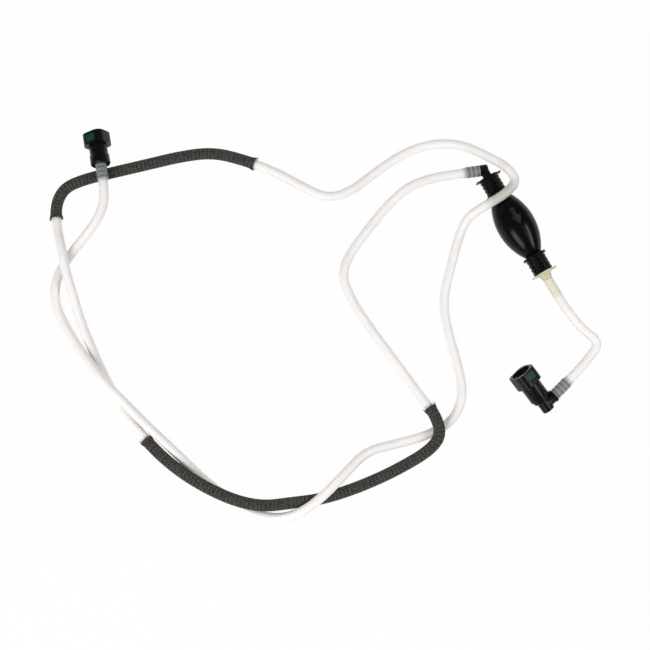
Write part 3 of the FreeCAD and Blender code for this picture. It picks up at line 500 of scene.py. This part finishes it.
# %% Geometry Nodes: the bulb's tree
bulb_tree, given, result = new_tree(
    "Squeeze bulb", "GeometryNodeTree",
    {"Geometry": (SHAPE, None), "Start": (NUMBER, 0.0), "End": (NUMBER, 0.1),
     "Axis height": (NUMBER, 0.02), "Belly middle": (NUMBER, 0.0), "Belly radius": (NUMBER, 0.02),
     "Side curve": (NUMBER, 0.065), "Neck radius": (NUMBER, 0.009), "Neck blend": (NUMBER, 0.001),
     "Bore radius": (NUMBER, 0.0075), "Finish": (FINISH, None)},
    {"Geometry": SHAPE},
)
put, reckon, link = tools_for(bulb_tree)
STEPS, OUTSIDE_STEPS, ROUND_STEPS = 160, 128, 96   # along, the outside's part, and round
grid = put("GeometryNodeMeshGrid", {
    "Size X": 1.0, "Size Y": 1.0, "Vertices X": STEPS + 1, "Vertices Y": ROUND_STEPS + 1})
spot = put("ShaderNodeSeparateXYZ", {
    "Vector": put("GeometryNodeInputPosition").outputs["Position"]})
walk = reckon("ADD", spot.outputs["X"], 0.5)
angle = reckon("MULTIPLY", spot.outputs["Y"], -2 * math.pi)
out = put("ShaderNodeMapRange", {
    "Value": walk, "From Max": OUTSIDE_STEPS / STEPS, "To Min": given["Start"],
    "To Max": given["End"]})
back = put("ShaderNodeMapRange", {
    "Value": walk, "From Min": (OUTSIDE_STEPS + 1) / STEPS, "From Max": (STEPS - 1) / STEPS,
    "To Min": given["End"], "To Max": given["Start"]})
going = reckon("LESS_THAN", walk, (OUTSIDE_STEPS + 0.5) / STEPS)
outside = reckon("MAXIMUM", going, reckon("GREATER_THAN", walk, (STEPS - 0.5) / STEPS))
along = put("ShaderNodeMix", {"Factor": going}, data_type="FLOAT")
link(back.outputs["Result"], along.inputs[2])
link(out.outputs["Result"], along.inputs[3])
off = reckon("SUBTRACT", along.outputs[0], given["Belly middle"])
drop = reckon("SUBTRACT", reckon("MULTIPLY", given["Side curve"], given["Side curve"]),
              reckon("MULTIPLY", off, off))
belly = reckon("ADD", reckon("SUBTRACT", given["Belly radius"], given["Side curve"]),
               reckon("SQRT", drop))
outer = reckon("SMOOTH_MAX", belly, given["Neck radius"], given["Neck blend"])
radius = put("ShaderNodeMix", {"Factor": outside}, data_type="FLOAT")
link(given["Bore radius"], radius.inputs[2])
link(outer, radius.inputs[3])
across = reckon("MULTIPLY", radius.outputs[0], reckon("SINE", angle))
rise = reckon("MULTIPLY", radius.outputs[0], reckon("COSINE", angle))
place = put("ShaderNodeCombineXYZ", {
    "X": along.outputs[0], "Y": across, "Z": reckon("ADD", rise, given["Axis height"])})
rolled = put("GeometryNodeSetPosition", {
    "Geometry": grid.outputs["Mesh"], "Position": place.outputs["Vector"]})
welded = put("GeometryNodeMergeByDistance", {
    "Geometry": rolled.outputs["Geometry"], "Distance": 1e-6})
rounded = put("GeometryNodeSetShadeSmooth", {"Geometry": welded.outputs["Geometry"]})
whole = put("GeometryNodeRealizeInstances", {"Geometry": rounded.outputs["Geometry"]})
dressed = put("GeometryNodeSetMaterial", {
    "Geometry": whole.outputs["Geometry"], "Material": given["Finish"]})
link(dressed.outputs["Geometry"], result["Geometry"])
print(len(bulb_tree.nodes), "nodes in the bulb's tree")

# %% [markdown]
# A modifier runs the tree. Its inputs are set by their sockets' identifiers before the object
# is first evaluated. The result is copied out as a plain mesh, and the object that carried the
# modifier is thrown away, so what is left is an ordinary piece.

# %% Run a tree and keep its mesh
def grown(name, tree, base, sizes, body=None):
    """The mesh that a tree makes from a base mesh, as a piece of its own."""
    carrier = add(name + "_carrier", base)
    modifier = carrier.modifiers.new("Grow", "NODES")
    modifier.node_group = tree
    for item in tree.interface.items_tree:
        if item.in_out == "INPUT" and item.name in sizes:
            modifier[item.identifier] = sizes[item.name]
    mesh = evaluated(carrier)
    bpy.data.objects.remove(carrier)
    made = add(name, mesh)
    if body:
        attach(made, body)
    print(name, len(mesh.polygons), "faces")
    return made


def facing_out(mesh):
    """True if a closed mesh's faces point outwards, by the sign of its volume."""
    mesh.calc_loop_triangles()
    corners = np.array([v.co for v in mesh.vertices])
    tris = corners[np.array([t.vertices for t in mesh.loop_triangles])]
    return np.einsum("ij,ij->i", tris[:, 0], np.cross(tris[:, 1], tris[:, 2])).sum() > 0


bulb = grown("bulb_skin", bulb_tree, bpy.data.meshes.new("empty"), {
    "Start": BULB_START, "End": BULB_END, "Axis height": AXIS_HEIGHT, "Belly middle": -0.0045,
    "Belly radius": BELLY_RADIUS, "Side curve": 0.065, "Neck radius": 0.0092,
    "Neck blend": 0.0012, "Bore radius": 0.0076, "Finish": RUBBER})
if not facing_out(bulb.data):
    bulb.data.flip_normals()
print("faces point out:", facing_out(bulb.data))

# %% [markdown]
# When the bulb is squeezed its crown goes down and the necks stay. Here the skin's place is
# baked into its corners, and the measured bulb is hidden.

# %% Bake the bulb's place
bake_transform(bulb)
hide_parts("bulb")

# %% [markdown]
# ## Moulded pieces
# The measured pieces have the right shapes but knife-sharp edges. Real mouldings have edges
# rounded by a few tenths of a millimetre, and those edges catch the light. Each piece is
# copied, its loose triangles are welded into flat faces, and a Bevel modifier rounds the edges.
# A latch's jaw sits deep in the mouth, so its inner faces are painted a darker green than its
# button: painted shade for the dark inside the mouth.

# %% Round a measured piece's edges
def softened(node, width, finish, slot, body):
    """A copy of a measured piece with its edges rounded, in its finish."""
    work = bmesh.new()
    work.from_mesh(frame["nodes"][node].data)
    bmesh.ops.remove_doubles(work, verts=work.verts, dist=2e-6)
    bmesh.ops.dissolve_limit(
        work, angle_limit=math.radians(1.0), verts=work.verts, edges=work.edges)
    mesh = bpy.data.meshes.new(node + "_moulded")
    work.to_mesh(mesh)
    work.free()
    mesh.materials.clear()
    mesh.materials.append(finish)
    mesh.shade_smooth()
    mesh.set_sharp_from_angle(angle=math.radians(28))
    raw = add(node + "_raw", mesh)
    bevel = raw.modifiers.new("Round", "BEVEL")
    bevel.width = width
    bevel.segments = 2
    bevel.limit_method = "ANGLE"
    bevel.angle_limit = math.radians(38)
    bevel.harden_normals = True
    done = evaluated(raw)
    bpy.data.objects.remove(raw)
    piece = add(node + "_moulded", done)
    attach(piece, body)
    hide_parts(node)
    return piece


MOULDED = {
    "inlet_clamp_sleeve": (0.00018, BLACK, "black_plastic"),
    "outlet_clamp_sleeve": (0.00018, BLACK, "black_plastic"),
    "inlet_elbow": (0.0003, BLACK, "black_plastic"),
    "outlet_stem": (0.0003, CREAM, "natural_plastic"),
    "straight_connector_body": (0.0004, BLACK, "black_plastic"),
    "elbow_connector_body": (0.0004, BLACK, "black_plastic"),
    "straight_latch_upper": (0.0004, GREEN, "latch_green"),
    "straight_latch_lower": (0.0004, GREEN, "latch_green"),
    "elbow_latch_upper": (0.0004, GREEN, "latch_green"),
    "elbow_latch_lower": (0.0004, GREEN, "latch_green"),
    "bulb_flow_arrow": (0.0002, ARROW_SHEEN, "bulb_rubber"),
}
CAVITY = 0.0104   # radius of a connector's mouth
body_of_node = {n: b for b, nodes in frame["record"]["behaviour"]["bodies"].items() for n in nodes}
pieces = {node: softened(node, *how, body_of_node[node]) for node, how in MOULDED.items()}
# A latch's faces inside the mouth's radius take the painted shade.
for node, piece in pieces.items():
    if "_latch_" in node:
        kind = node.split("_")[0]
        socket = next(m for m in frame["record"]["mounts"] if m["name"].startswith(kind))
        place, way = Vector(socket["pos_m"]), Vector(socket["axis"]).normalized()
        piece.data.materials.append(JAW_SHADE)
        for face in piece.data.polygons:
            out = face.center - place
            if (out - way * out.dot(way)).length < CAVITY:
                face.material_index = 1
print({node: len(piece.data.polygons) for node, piece in pieces.items()})

# %% [markdown]
# Each valve's spring is pressed shorter when its ball lifts. Here each spring is copied in
# steel, its place is baked, and the measured spring is hidden.

# %% The springs in steel
for side in ("inlet", "outlet"):
    node = f"{side}_valve_spring"
    mesh = frame["nodes"][node].data.copy()
    mesh.materials.clear()
    mesh.materials.append(STEEL)
    coil = add(node + "_coil", mesh)
    near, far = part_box(node)
    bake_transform(coil)
    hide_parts(node)
    print(node, "from", round(near.x, 4), "to", round(far.x, 4))

# %% [markdown]
# The seals, balls, cage and seat are small, and are seen only through the windows and
# mouths. They keep their measured shapes and take a finish.

# %% Finishes for the small pieces
WEAR = {"ball": STEEL, "o_ring": SEAL, "spacer": CREAM, "bush": CREAM, "cage": CREAM, "seat": CREAM}
for node, made in frame["nodes"].items():
    for word, finish in WEAR.items():
        if word in node:
            made.data.materials.clear()
            made.data.materials.append(finish)
            print(node, finish.name)

# %% [markdown]
# ## The hoses
# Each hose is a closed tube with a bore. Over a black barb it swells to about 12.8 mm, with a
# ring at each barb edge, and over the cream spigot hardly at all. Each end of a hose is told what
# is under it: how long the barb is, its colour, how far it swells the hose and how far apart its
# edges are. Stations are close together there and far apart elsewhere.

# %% Hose tube from a route
HOSE_RADIUS, BORE = 0.0051, 0.004
FINE, COARSE = 0.0006, 0.0024          # between stations: at the ends, and elsewhere
FINE_PAST = 0.006                      # how far the fine stations run on past a barb
FADE_PAST, FADE = 0.005, 0.008         # how far the swelling runs on, and its slope's length
RING_HEIGHT, RING_WIDTH = 0.0004, 0.16 # how far a barb's edge lifts the hose, and its share
# The next two lines set where, and how strongly, the hose is painted with shade over a black piece
# below it.
BESIDE, TOUCHING = 0.004, 0.002        # a black piece this near sideways, and deeper than this
SHOWS_FROM, SHOWS_OVER = 0.022, 0.012  # starts to show at this depth, and fades in over this


def dark_below(places):
    """How closely a black piece lies under each place, as a share of painted shade on the hose."""
    shade = np.zeros(len(places))
    for node in ("bulb", "inlet_elbow", "inlet_clamp_sleeve"):
        corners = np.array([v.co for v in frame["nodes"][node].data.vertices])
        for i, place in enumerate(places):
            beside = np.linalg.norm(corners[:, :2] - place[:2], axis=1) < BESIDE
            drop = place[2] - corners[beside, 2].max() if beside.any() else 0
            if drop > TOUCHING:
                shade[i] = max(shade[i], np.clip((SHOWS_FROM - drop) / SHOWS_OVER, 0, 1))
    return np.convolve(np.pad(shade, 2, mode="edge"), np.full(5, 0.2), mode="valid")


def hose(name, line, ends):
    """A hose on a line. Each end is a barb's reach, colour, swelling and edge spacing."""
    total = lengths(line)[-1]
    near_end = np.arange(0, ends[0][0] + FINE_PAST, FINE)
    far_end = np.arange(total - ends[1][0] - FINE_PAST, total, FINE)
    between = np.arange(near_end[-1], far_end[0], COARSE)
    stations = np.unique(np.round(np.concatenate([near_end, far_end, between, [total]]), 6))
    swell = np.zeros(len(stations))
    ring, black, cream = swell.copy(), swell.copy(), swell.copy()
    for (reach, kind, growth, pitch), depth in zip(ends, (stations, total - stations)):
        inside = np.clip((reach + FADE_PAST - depth) / FADE, 0, 1)
        inside = inside * inside * (3 - 2 * inside)
        barb = np.where(depth < reach, np.mod(depth / pitch, 1.0), 0.0)
        bump = np.exp(-(((barb - 0.5) / RING_WIDTH) ** 2))
        ring = np.maximum(ring, inside * bump)
        if kind == "black":
            swell += inside * (growth + RING_HEIGHT * bump)
            black = np.maximum(black, inside)
        else:
            swell += inside * growth
            cream = np.maximum(cream, inside * 0.8)
    tube = pipe(name, line, stations, HOSE_RADIUS + swell, BORE, ring=ring, black_under=black,
                cream_under=cream, dark_below=dark_below(stations_on(line, stations)[0]) * 0.9)
    tube.data.materials.append(NYLON)
    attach(tube, "pump")
    print(name, len(stations), "stations", len(tube.data.polygons), "faces")
    return tube


ON_ELBOW, ON_SPIGOT = (0.0165, "black", 0.0009, 0.005), (0.0215, "cream", 0.0002, 0.005)
ON_CONNECTOR = (0.0205, "black", 0.0009, 0.005)
long_tube = hose("long_hose_tube", long_line, [ON_ELBOW, ON_CONNECTOR])
short_tube = hose("short_hose_tube", short_line, [ON_SPIGOT, ON_CONNECTOR])
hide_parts("long_hose")
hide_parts("short_hose")

# %% [markdown]
# ## The braided sleeves
# A braid is two sets of flat bundles that wind round in opposite ways and pass over and under
# each other. Geometry Nodes suit it: one straight line is duplicated once for each bundle, each
# copy is wound round the hose's own line, and its distance from the hose rises and falls so
# that at each crossing one set is on top. At the ends the weave opens a little.

# %% Geometry Nodes: the braid's tree
braid_tree, given, result = new_tree(
    "Braided sleeve", "GeometryNodeTree",
    {"Geometry": (SHAPE, None), "Bundles each way": (WHOLE, 16), "Turns": (NUMBER, 8.0),
     "Samples": (WHOLE, 600), "Radius": (NUMBER, 0.006), "Lift": (NUMBER, 0.00026),
     "Bundle width": (NUMBER, 0.0016), "Bundle thickness": (NUMBER, 0.0003),
     "End flare": (NUMBER, 0.001), "Flare length": (NUMBER, 0.005), "Finish": (FINISH, None)},
    {"Geometry": SHAPE},
)
put, reckon, link = tools_for(braid_tree)
core = put("GeometryNodeMeshToCurve", {"Mesh": given["Geometry"]})
line = put("GeometryNodeCurvePrimitiveLine", mode="POINTS")
spaced = put("GeometryNodeResampleCurve", {
    "Curve": line.outputs["Curve"], "Count": given["Samples"]})
both_ways = reckon("MULTIPLY", given["Bundles each way"], 2.0)
copies = put("GeometryNodeDuplicateElements", {
    "Geometry": spaced.outputs["Curve"], "Amount": both_ways}, domain="SPLINE")
share = put("GeometryNodeSplineParameter").outputs["Factor"]
number = copies.outputs["Duplicate Index"]
first_set = reckon("LESS_THAN", number, given["Bundles each way"])
way = reckon("MULTIPLY_ADD", first_set, 2.0, -1.0)
wound = reckon("MULTIPLY", reckon("MULTIPLY", share, given["Turns"]), 2 * math.pi)
starts = reckon("DIVIDE", reckon("MULTIPLY", number, 2 * math.pi), given["Bundles each way"])
angle = reckon("MULTIPLY_ADD", wound, way, starts)
beat = reckon("COSINE", reckon("MULTIPLY", wound, given["Bundles each way"]))
lift = reckon("MULTIPLY", reckon("MULTIPLY", beat, way), given["Lift"])
full = put("GeometryNodeCurveLength", {"Curve": core.outputs["Curve"]}).outputs["Length"]
to_end = reckon("MULTIPLY", reckon("MINIMUM", share, reckon("SUBTRACT", 1.0, share)), full)
flare = put("ShaderNodeMapRange", {
    "Value": to_end, "From Max": given["Flare length"], "To Min": given["End flare"],
    "To Max": 0.0}, interpolation_type="SMOOTHSTEP")
radius = reckon("ADD", reckon("ADD", given["Radius"], lift), flare.outputs["Result"])
on_core = put("GeometryNodeSampleCurve", {
    "Curves": core.outputs["Curve"], "Factor": share}, mode="FACTOR")
third = reckon("CROSS_PRODUCT", on_core.outputs["Tangent"], on_core.outputs["Normal"], vector=True)
outward = reckon(
    "ADD", reckon("SCALE", on_core.outputs["Normal"], reckon("COSINE", angle), vector=True),
    reckon("SCALE", third, reckon("SINE", angle), vector=True), vector=True)
place = reckon("ADD", on_core.outputs["Position"],
               reckon("SCALE", outward, radius, vector=True), vector=True)
kept_out = put("GeometryNodeCaptureAttribute", domain="POINT")
kept_out.capture_items.new("VECTOR", "Outward")
link(copies.outputs["Geometry"], kept_out.inputs["Geometry"])
link(outward, kept_out.inputs["Outward"])
# crest marks where a bundle lies on top of a crossing; the braid's finish paints a highlight there,
# stronger on the first set.
crest = reckon("POWER", reckon("MAXIMUM", reckon("MULTIPLY", beat, way), 0.0), 4.0)
bright = reckon("MULTIPLY", crest, reckon("MULTIPLY_ADD", first_set, 0.35, 0.65))
marked = put("GeometryNodeStoreNamedAttribute", {
    "Geometry": kept_out.outputs["Geometry"], "Name": "crest", "Value": bright},
    data_type="FLOAT", domain="POINT")
winding = put("GeometryNodeSetPosition", {
    "Geometry": marked.outputs["Geometry"], "Position": place})
flat = put("GeometryNodeSetCurveNormal", {
    "Curve": winding.outputs["Geometry"], "Normal": kept_out.outputs["Outward"]}, mode="FREE")
section = put("GeometryNodeCurvePrimitiveCircle", {"Resolution": 4, "Radius": 0.5}, mode="RADIUS")
size = put("ShaderNodeCombineXYZ", {
    "X": given["Bundle thickness"], "Y": given["Bundle width"], "Z": 1.0})
flattened = put("GeometryNodeTransform", {
    "Geometry": section.outputs["Curve"], "Scale": size.outputs["Vector"]})
bundle = put("GeometryNodeCurveToMesh", {
    "Curve": flat.outputs["Curve"], "Profile Curve": flattened.outputs["Geometry"],
    "Fill Caps": True})
whole = put("GeometryNodeRealizeInstances", {"Geometry": bundle.outputs["Mesh"]})
dressed = put("GeometryNodeSetMaterial", {
    "Geometry": whole.outputs["Geometry"], "Material": given["Finish"]})
link(dressed.outputs["Geometry"], result["Geometry"])
print(len(braid_tree.nodes), "nodes in the braid's tree")

# %% [markdown]
# The cut ends fray. Each end gets a ring of points that know which way their filament leans,
# and a second tree puts a short bent filament on each, with its turn and length varied from a
# fixed seed. Filaments that would point into the table are lifted to lie on it.

# %% Geometry Nodes: the frayed ends' tree
fray_tree, given, result = new_tree(
    "Frayed end", "GeometryNodeTree",
    {"Geometry": (SHAPE, None), "Filament length": (NUMBER, 0.0026),
     "Filament radius": (NUMBER, 0.00009), "Wander": (NUMBER, 0.5), "Roll": (NUMBER, 3.1),
     "Shortest": (NUMBER, 0.4), "Longest": (NUMBER, 1.3), "Lowest": (NUMBER, 0.0003),
     "Seed": (WHOLE, 3), "Finish": (FINISH, None)},
    {"Geometry": SHAPE},
)
put, reckon, link = tools_for(fray_tree)
tip = put("ShaderNodeCombineXYZ", {
    "X": reckon("MULTIPLY", given["Filament length"], 0.3), "Z": given["Filament length"]})
bend = put("ShaderNodeCombineXYZ", {"Z": reckon("MULTIPLY", given["Filament length"], 0.55)})
arc = put("GeometryNodeCurveQuadraticBezier", {
    "Resolution": 3, "Start": (0, 0, 0), "Middle": bend.outputs["Vector"],
    "End": tip.outputs["Vector"]})
round_section = put("GeometryNodeCurvePrimitiveCircle", {
    "Resolution": 3, "Radius": given["Filament radius"]}, mode="RADIUS")
filament = put("GeometryNodeCurveToMesh", {
    "Curve": arc.outputs["Curve"], "Profile Curve": round_section.outputs["Curve"],
    "Fill Caps": True})
lean = put("GeometryNodeInputNamedAttribute", {"Name": "lean"}, data_type="FLOAT_VECTOR")
stand = put("FunctionNodeAlignRotationToVector", {"Vector": lean.outputs[0]}, axis="Z")
wobble = put("FunctionNodeRandomValue", data_type="FLOAT_VECTOR")
amount = put("ShaderNodeCombineXYZ", {
    "X": given["Wander"], "Y": given["Wander"], "Z": given["Roll"]})
link(amount.outputs["Vector"], wobble.inputs[1])
link(reckon("SCALE", amount.outputs["Vector"], -1.0, vector=True), wobble.inputs[0])
link(given["Seed"], wobble.inputs["Seed"])
spin = put("FunctionNodeEulerToRotation", {"Euler": wobble.outputs[0]})
turned = put("FunctionNodeRotateRotation", {
    "Rotation": stand.outputs["Rotation"], "Rotate By": spin.outputs["Rotation"]},
    rotation_space="LOCAL")
reach = put("FunctionNodeRandomValue", data_type="FLOAT")
link(given["Shortest"], reach.inputs[2])
link(given["Longest"], reach.inputs[3])
link(given["Seed"], reach.inputs["Seed"])
placed = put("GeometryNodeInstanceOnPoints", {
    "Points": given["Geometry"], "Instance": filament.outputs["Mesh"],
    "Rotation": turned.outputs["Rotation"], "Scale": reach.outputs[1]})
loose = put("GeometryNodeRealizeInstances", {"Geometry": placed.outputs["Instances"]})
now = put("ShaderNodeSeparateXYZ", {
    "Vector": put("GeometryNodeInputPosition").outputs["Position"]})
lifted = put("ShaderNodeCombineXYZ", {
    "X": now.outputs["X"], "Y": now.outputs["Y"],
    "Z": reckon("MAXIMUM", now.outputs["Z"], given["Lowest"])})
whole = put("GeometryNodeSetPosition", {
    "Geometry": loose.outputs["Geometry"], "Position": lifted.outputs["Vector"]})
dressed = put("GeometryNodeSetMaterial", {
    "Geometry": whole.outputs["Geometry"], "Material": given["Finish"]})
link(dressed.outputs["Geometry"], result["Geometry"])
print(len(fray_tree.nodes), "nodes in the frayed end's tree")

# %% [markdown]
# The hose line is cut to each sleeve's stretch. The braid's tree runs on that line, and the
# frayed ends' tree on a ring of points at each end of it. A thin dark tube under the weave is
# painted shade for the gaps between the bundles, and stops the milky hose from shining through
# them. The spans say where each sleeve starts and ends on a hose of the given length.

# %% The two sleeves
SLEEVE_RADIUS, BUNDLES = 0.0060, 16
TURN_LENGTH = 0.0448                         # along the hose for one turn of a bundle
CORE_STEP, BUNDLE_STEP = 0.0015, 0.0006      # between the points of the core and of a bundle
SHADE_LINING = SLEEVE_RADIUS - 0.00032, SLEEVE_RADIUS - 0.00062   # its outside and its inside
FILAMENTS, TIPS_OUT, LEAN_OUT = 96, 0.0007, 0.35   # at a cut end, off the core, outwards
LOWER_SPAN, UPPER_SPAN, SPAN_LENGTH = (0.378, 0.766), (1.035, 1.286), 2.653


def sleeve(name, node, span):
    """A braid, its painted-shade tube and its frayed ends on a span of the long hose."""
    start, end = (distance * (LONG_LENGTH / SPAN_LENGTH) for distance in span)
    stretch = end - start
    stations = np.linspace(start, end, int(stretch / CORE_STEP))
    places, ahead, sides, ups = stations_on(long_line, stations)
    core_mesh = bpy.data.meshes.new(name + "_line")
    core_mesh.from_pydata(places.tolist(), [(i, i + 1) for i in range(len(places) - 1)], [])
    woven = grown(name, braid_tree, core_mesh, {
        "Bundles each way": BUNDLES, "Turns": stretch / TURN_LENGTH,
        "Samples": int(stretch / BUNDLE_STEP), "Radius": SLEEVE_RADIUS, "Finish": BRAID},
        "pump")
    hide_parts(node)
    # Painted shade: a dark tube under the weave for the gaps between the bundles.
    shade_lining = pipe(name + "_shade_lining", long_line, stations, *SHADE_LINING, around=20)
    shade_lining.data.materials.append(BRAID)
    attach(shade_lining, "pump")
    tips, leans = [], []
    for i, side in ((0, -1), (-1, 1)):
        for angle in np.arange(FILAMENTS) * 2 * math.pi / FILAMENTS:
            outward = sides[i] * math.cos(angle) + ups[i] * math.sin(angle)
            tips.append(places[i] + outward * (SLEEVE_RADIUS + TIPS_OUT))
            leans.append(ahead[i] * side + outward * LEAN_OUT)
    ring = bpy.data.meshes.new(name + "_tips")
    ring.from_pydata([tuple(tip) for tip in tips], [], [])
    leaning = ring.attributes.new("lean", "FLOAT_VECTOR", "POINT")
    leaning.data.foreach_set("vector", np.array(leans, np.float32).ravel())
    fray = grown(
        name + "_fray", fray_tree, ring, {"Seed": len(name), "Finish": FRAY}, "pump")
    return [woven, shade_lining, fray]


lower_sleeve = sleeve("lower_sleeve_braid", "lower_braided_sleeve", LOWER_SPAN)
upper_sleeve = sleeve("upper_sleeve_braid", "upper_braided_sleeve", UPPER_SPAN)

# %% [markdown]


# %% [markdown]
# ## Floor and light
# The table is white. Seen by the camera, or in a reflection, it is plain white with the lightest
# trace of the pump's shadow. To the light it is an ordinary pale surface.

# %% Floor and world
REACH, LEVEL = 60, -0.0002
floor_mesh = bpy.data.meshes.new("floor")
floor_corners = [(x * REACH, y * REACH, LEVEL) for x, y in ((-1, -1), (1, -1), (1, 1), (-1, 1))]
floor_mesh.from_pydata(floor_corners, [], [(0, 1, 2, 3)])
floor = add("floor", floor_mesh)
FLOOR, tree, shader = new_finish("White table")
shader.inputs["Base Color"].default_value = (0.8, 0.8, 0.8, 1)
shader.inputs["Roughness"].default_value = 0.9
put, reckon, link = tools_for(tree)
path = put("ShaderNodeLightPath").outputs
mirrored = reckon("MAXIMUM", path["Is Glossy Ray"], path["Is Transmission Ray"])
seen = reckon("MAXIMUM", path["Is Camera Ray"], mirrored)
glow = put("ShaderNodeEmission", {"Color": (1, 1, 1, 1), "Strength": 1.0})
blend = put("ShaderNodeMixShader", {"Fac": reckon("MULTIPLY", seen, 0.975)})
link(shader.outputs["BSDF"], blend.inputs[1])
link(glow.outputs["Emission"], blend.inputs[2])
link(blend.outputs["Shader"], tree.nodes["Material Output"].inputs["Surface"])
floor.data.materials.append(FLOOR)

world = bpy.data.worlds.new("Studio")
scene.world = world
world.use_nodes = True
tree = world.node_tree
put, reckon, link = tools_for(tree)
path = put("ShaderNodeLightPath").outputs
seen = reckon("MAXIMUM", path["Is Camera Ray"], path["Is Transmission Ray"])
backdrop = tree.nodes["Background"]
link(reckon("MULTIPLY_ADD", seen, 0.78, 0.22), backdrop.inputs["Strength"])
link((1, 1, 1, 1), backdrop.inputs["Color"])
print("floor and world ready")

# %% [markdown]
# Four large soft lamps stand round the table. The two beside the bulb's outlet draw the two
# streaks along its shoulders. The two fills are kept out of reflections, so the rest of the bulb
# stays black.

# %% Lamps
def lamp(name, place, size, power, target=(0.0, -0.2, 0.0), mirrored=True):
    """A soft rectangular lamp that points at a target."""
    light = bpy.data.lights.new(name, "AREA")
    light.shape = "RECTANGLE"
    light.size, light.size_y = size
    light.energy = power
    made = add(name, light)
    made.visible_glossy = mirrored
    made.matrix_world = looking(Vector(place), Vector(target), Vector((1, 0, 0)))


AT_BULB = (0.02, 0, 0.02)
lamp("left streak", (0.75, 0.95, 1.25), (1.3, 0.4), 13, AT_BULB)
lamp("right streak", (0.75, -1.5, 1.15), (1.3, 0.9), 21, AT_BULB)
lamp("far fill", (-1.5, 0.8, 1.4), (1.8, 1.4), 11, mirrored=False)
lamp("near fill", (-0.6, -1.8, 1.4), (1.8, 1.4), 11, mirrored=False)
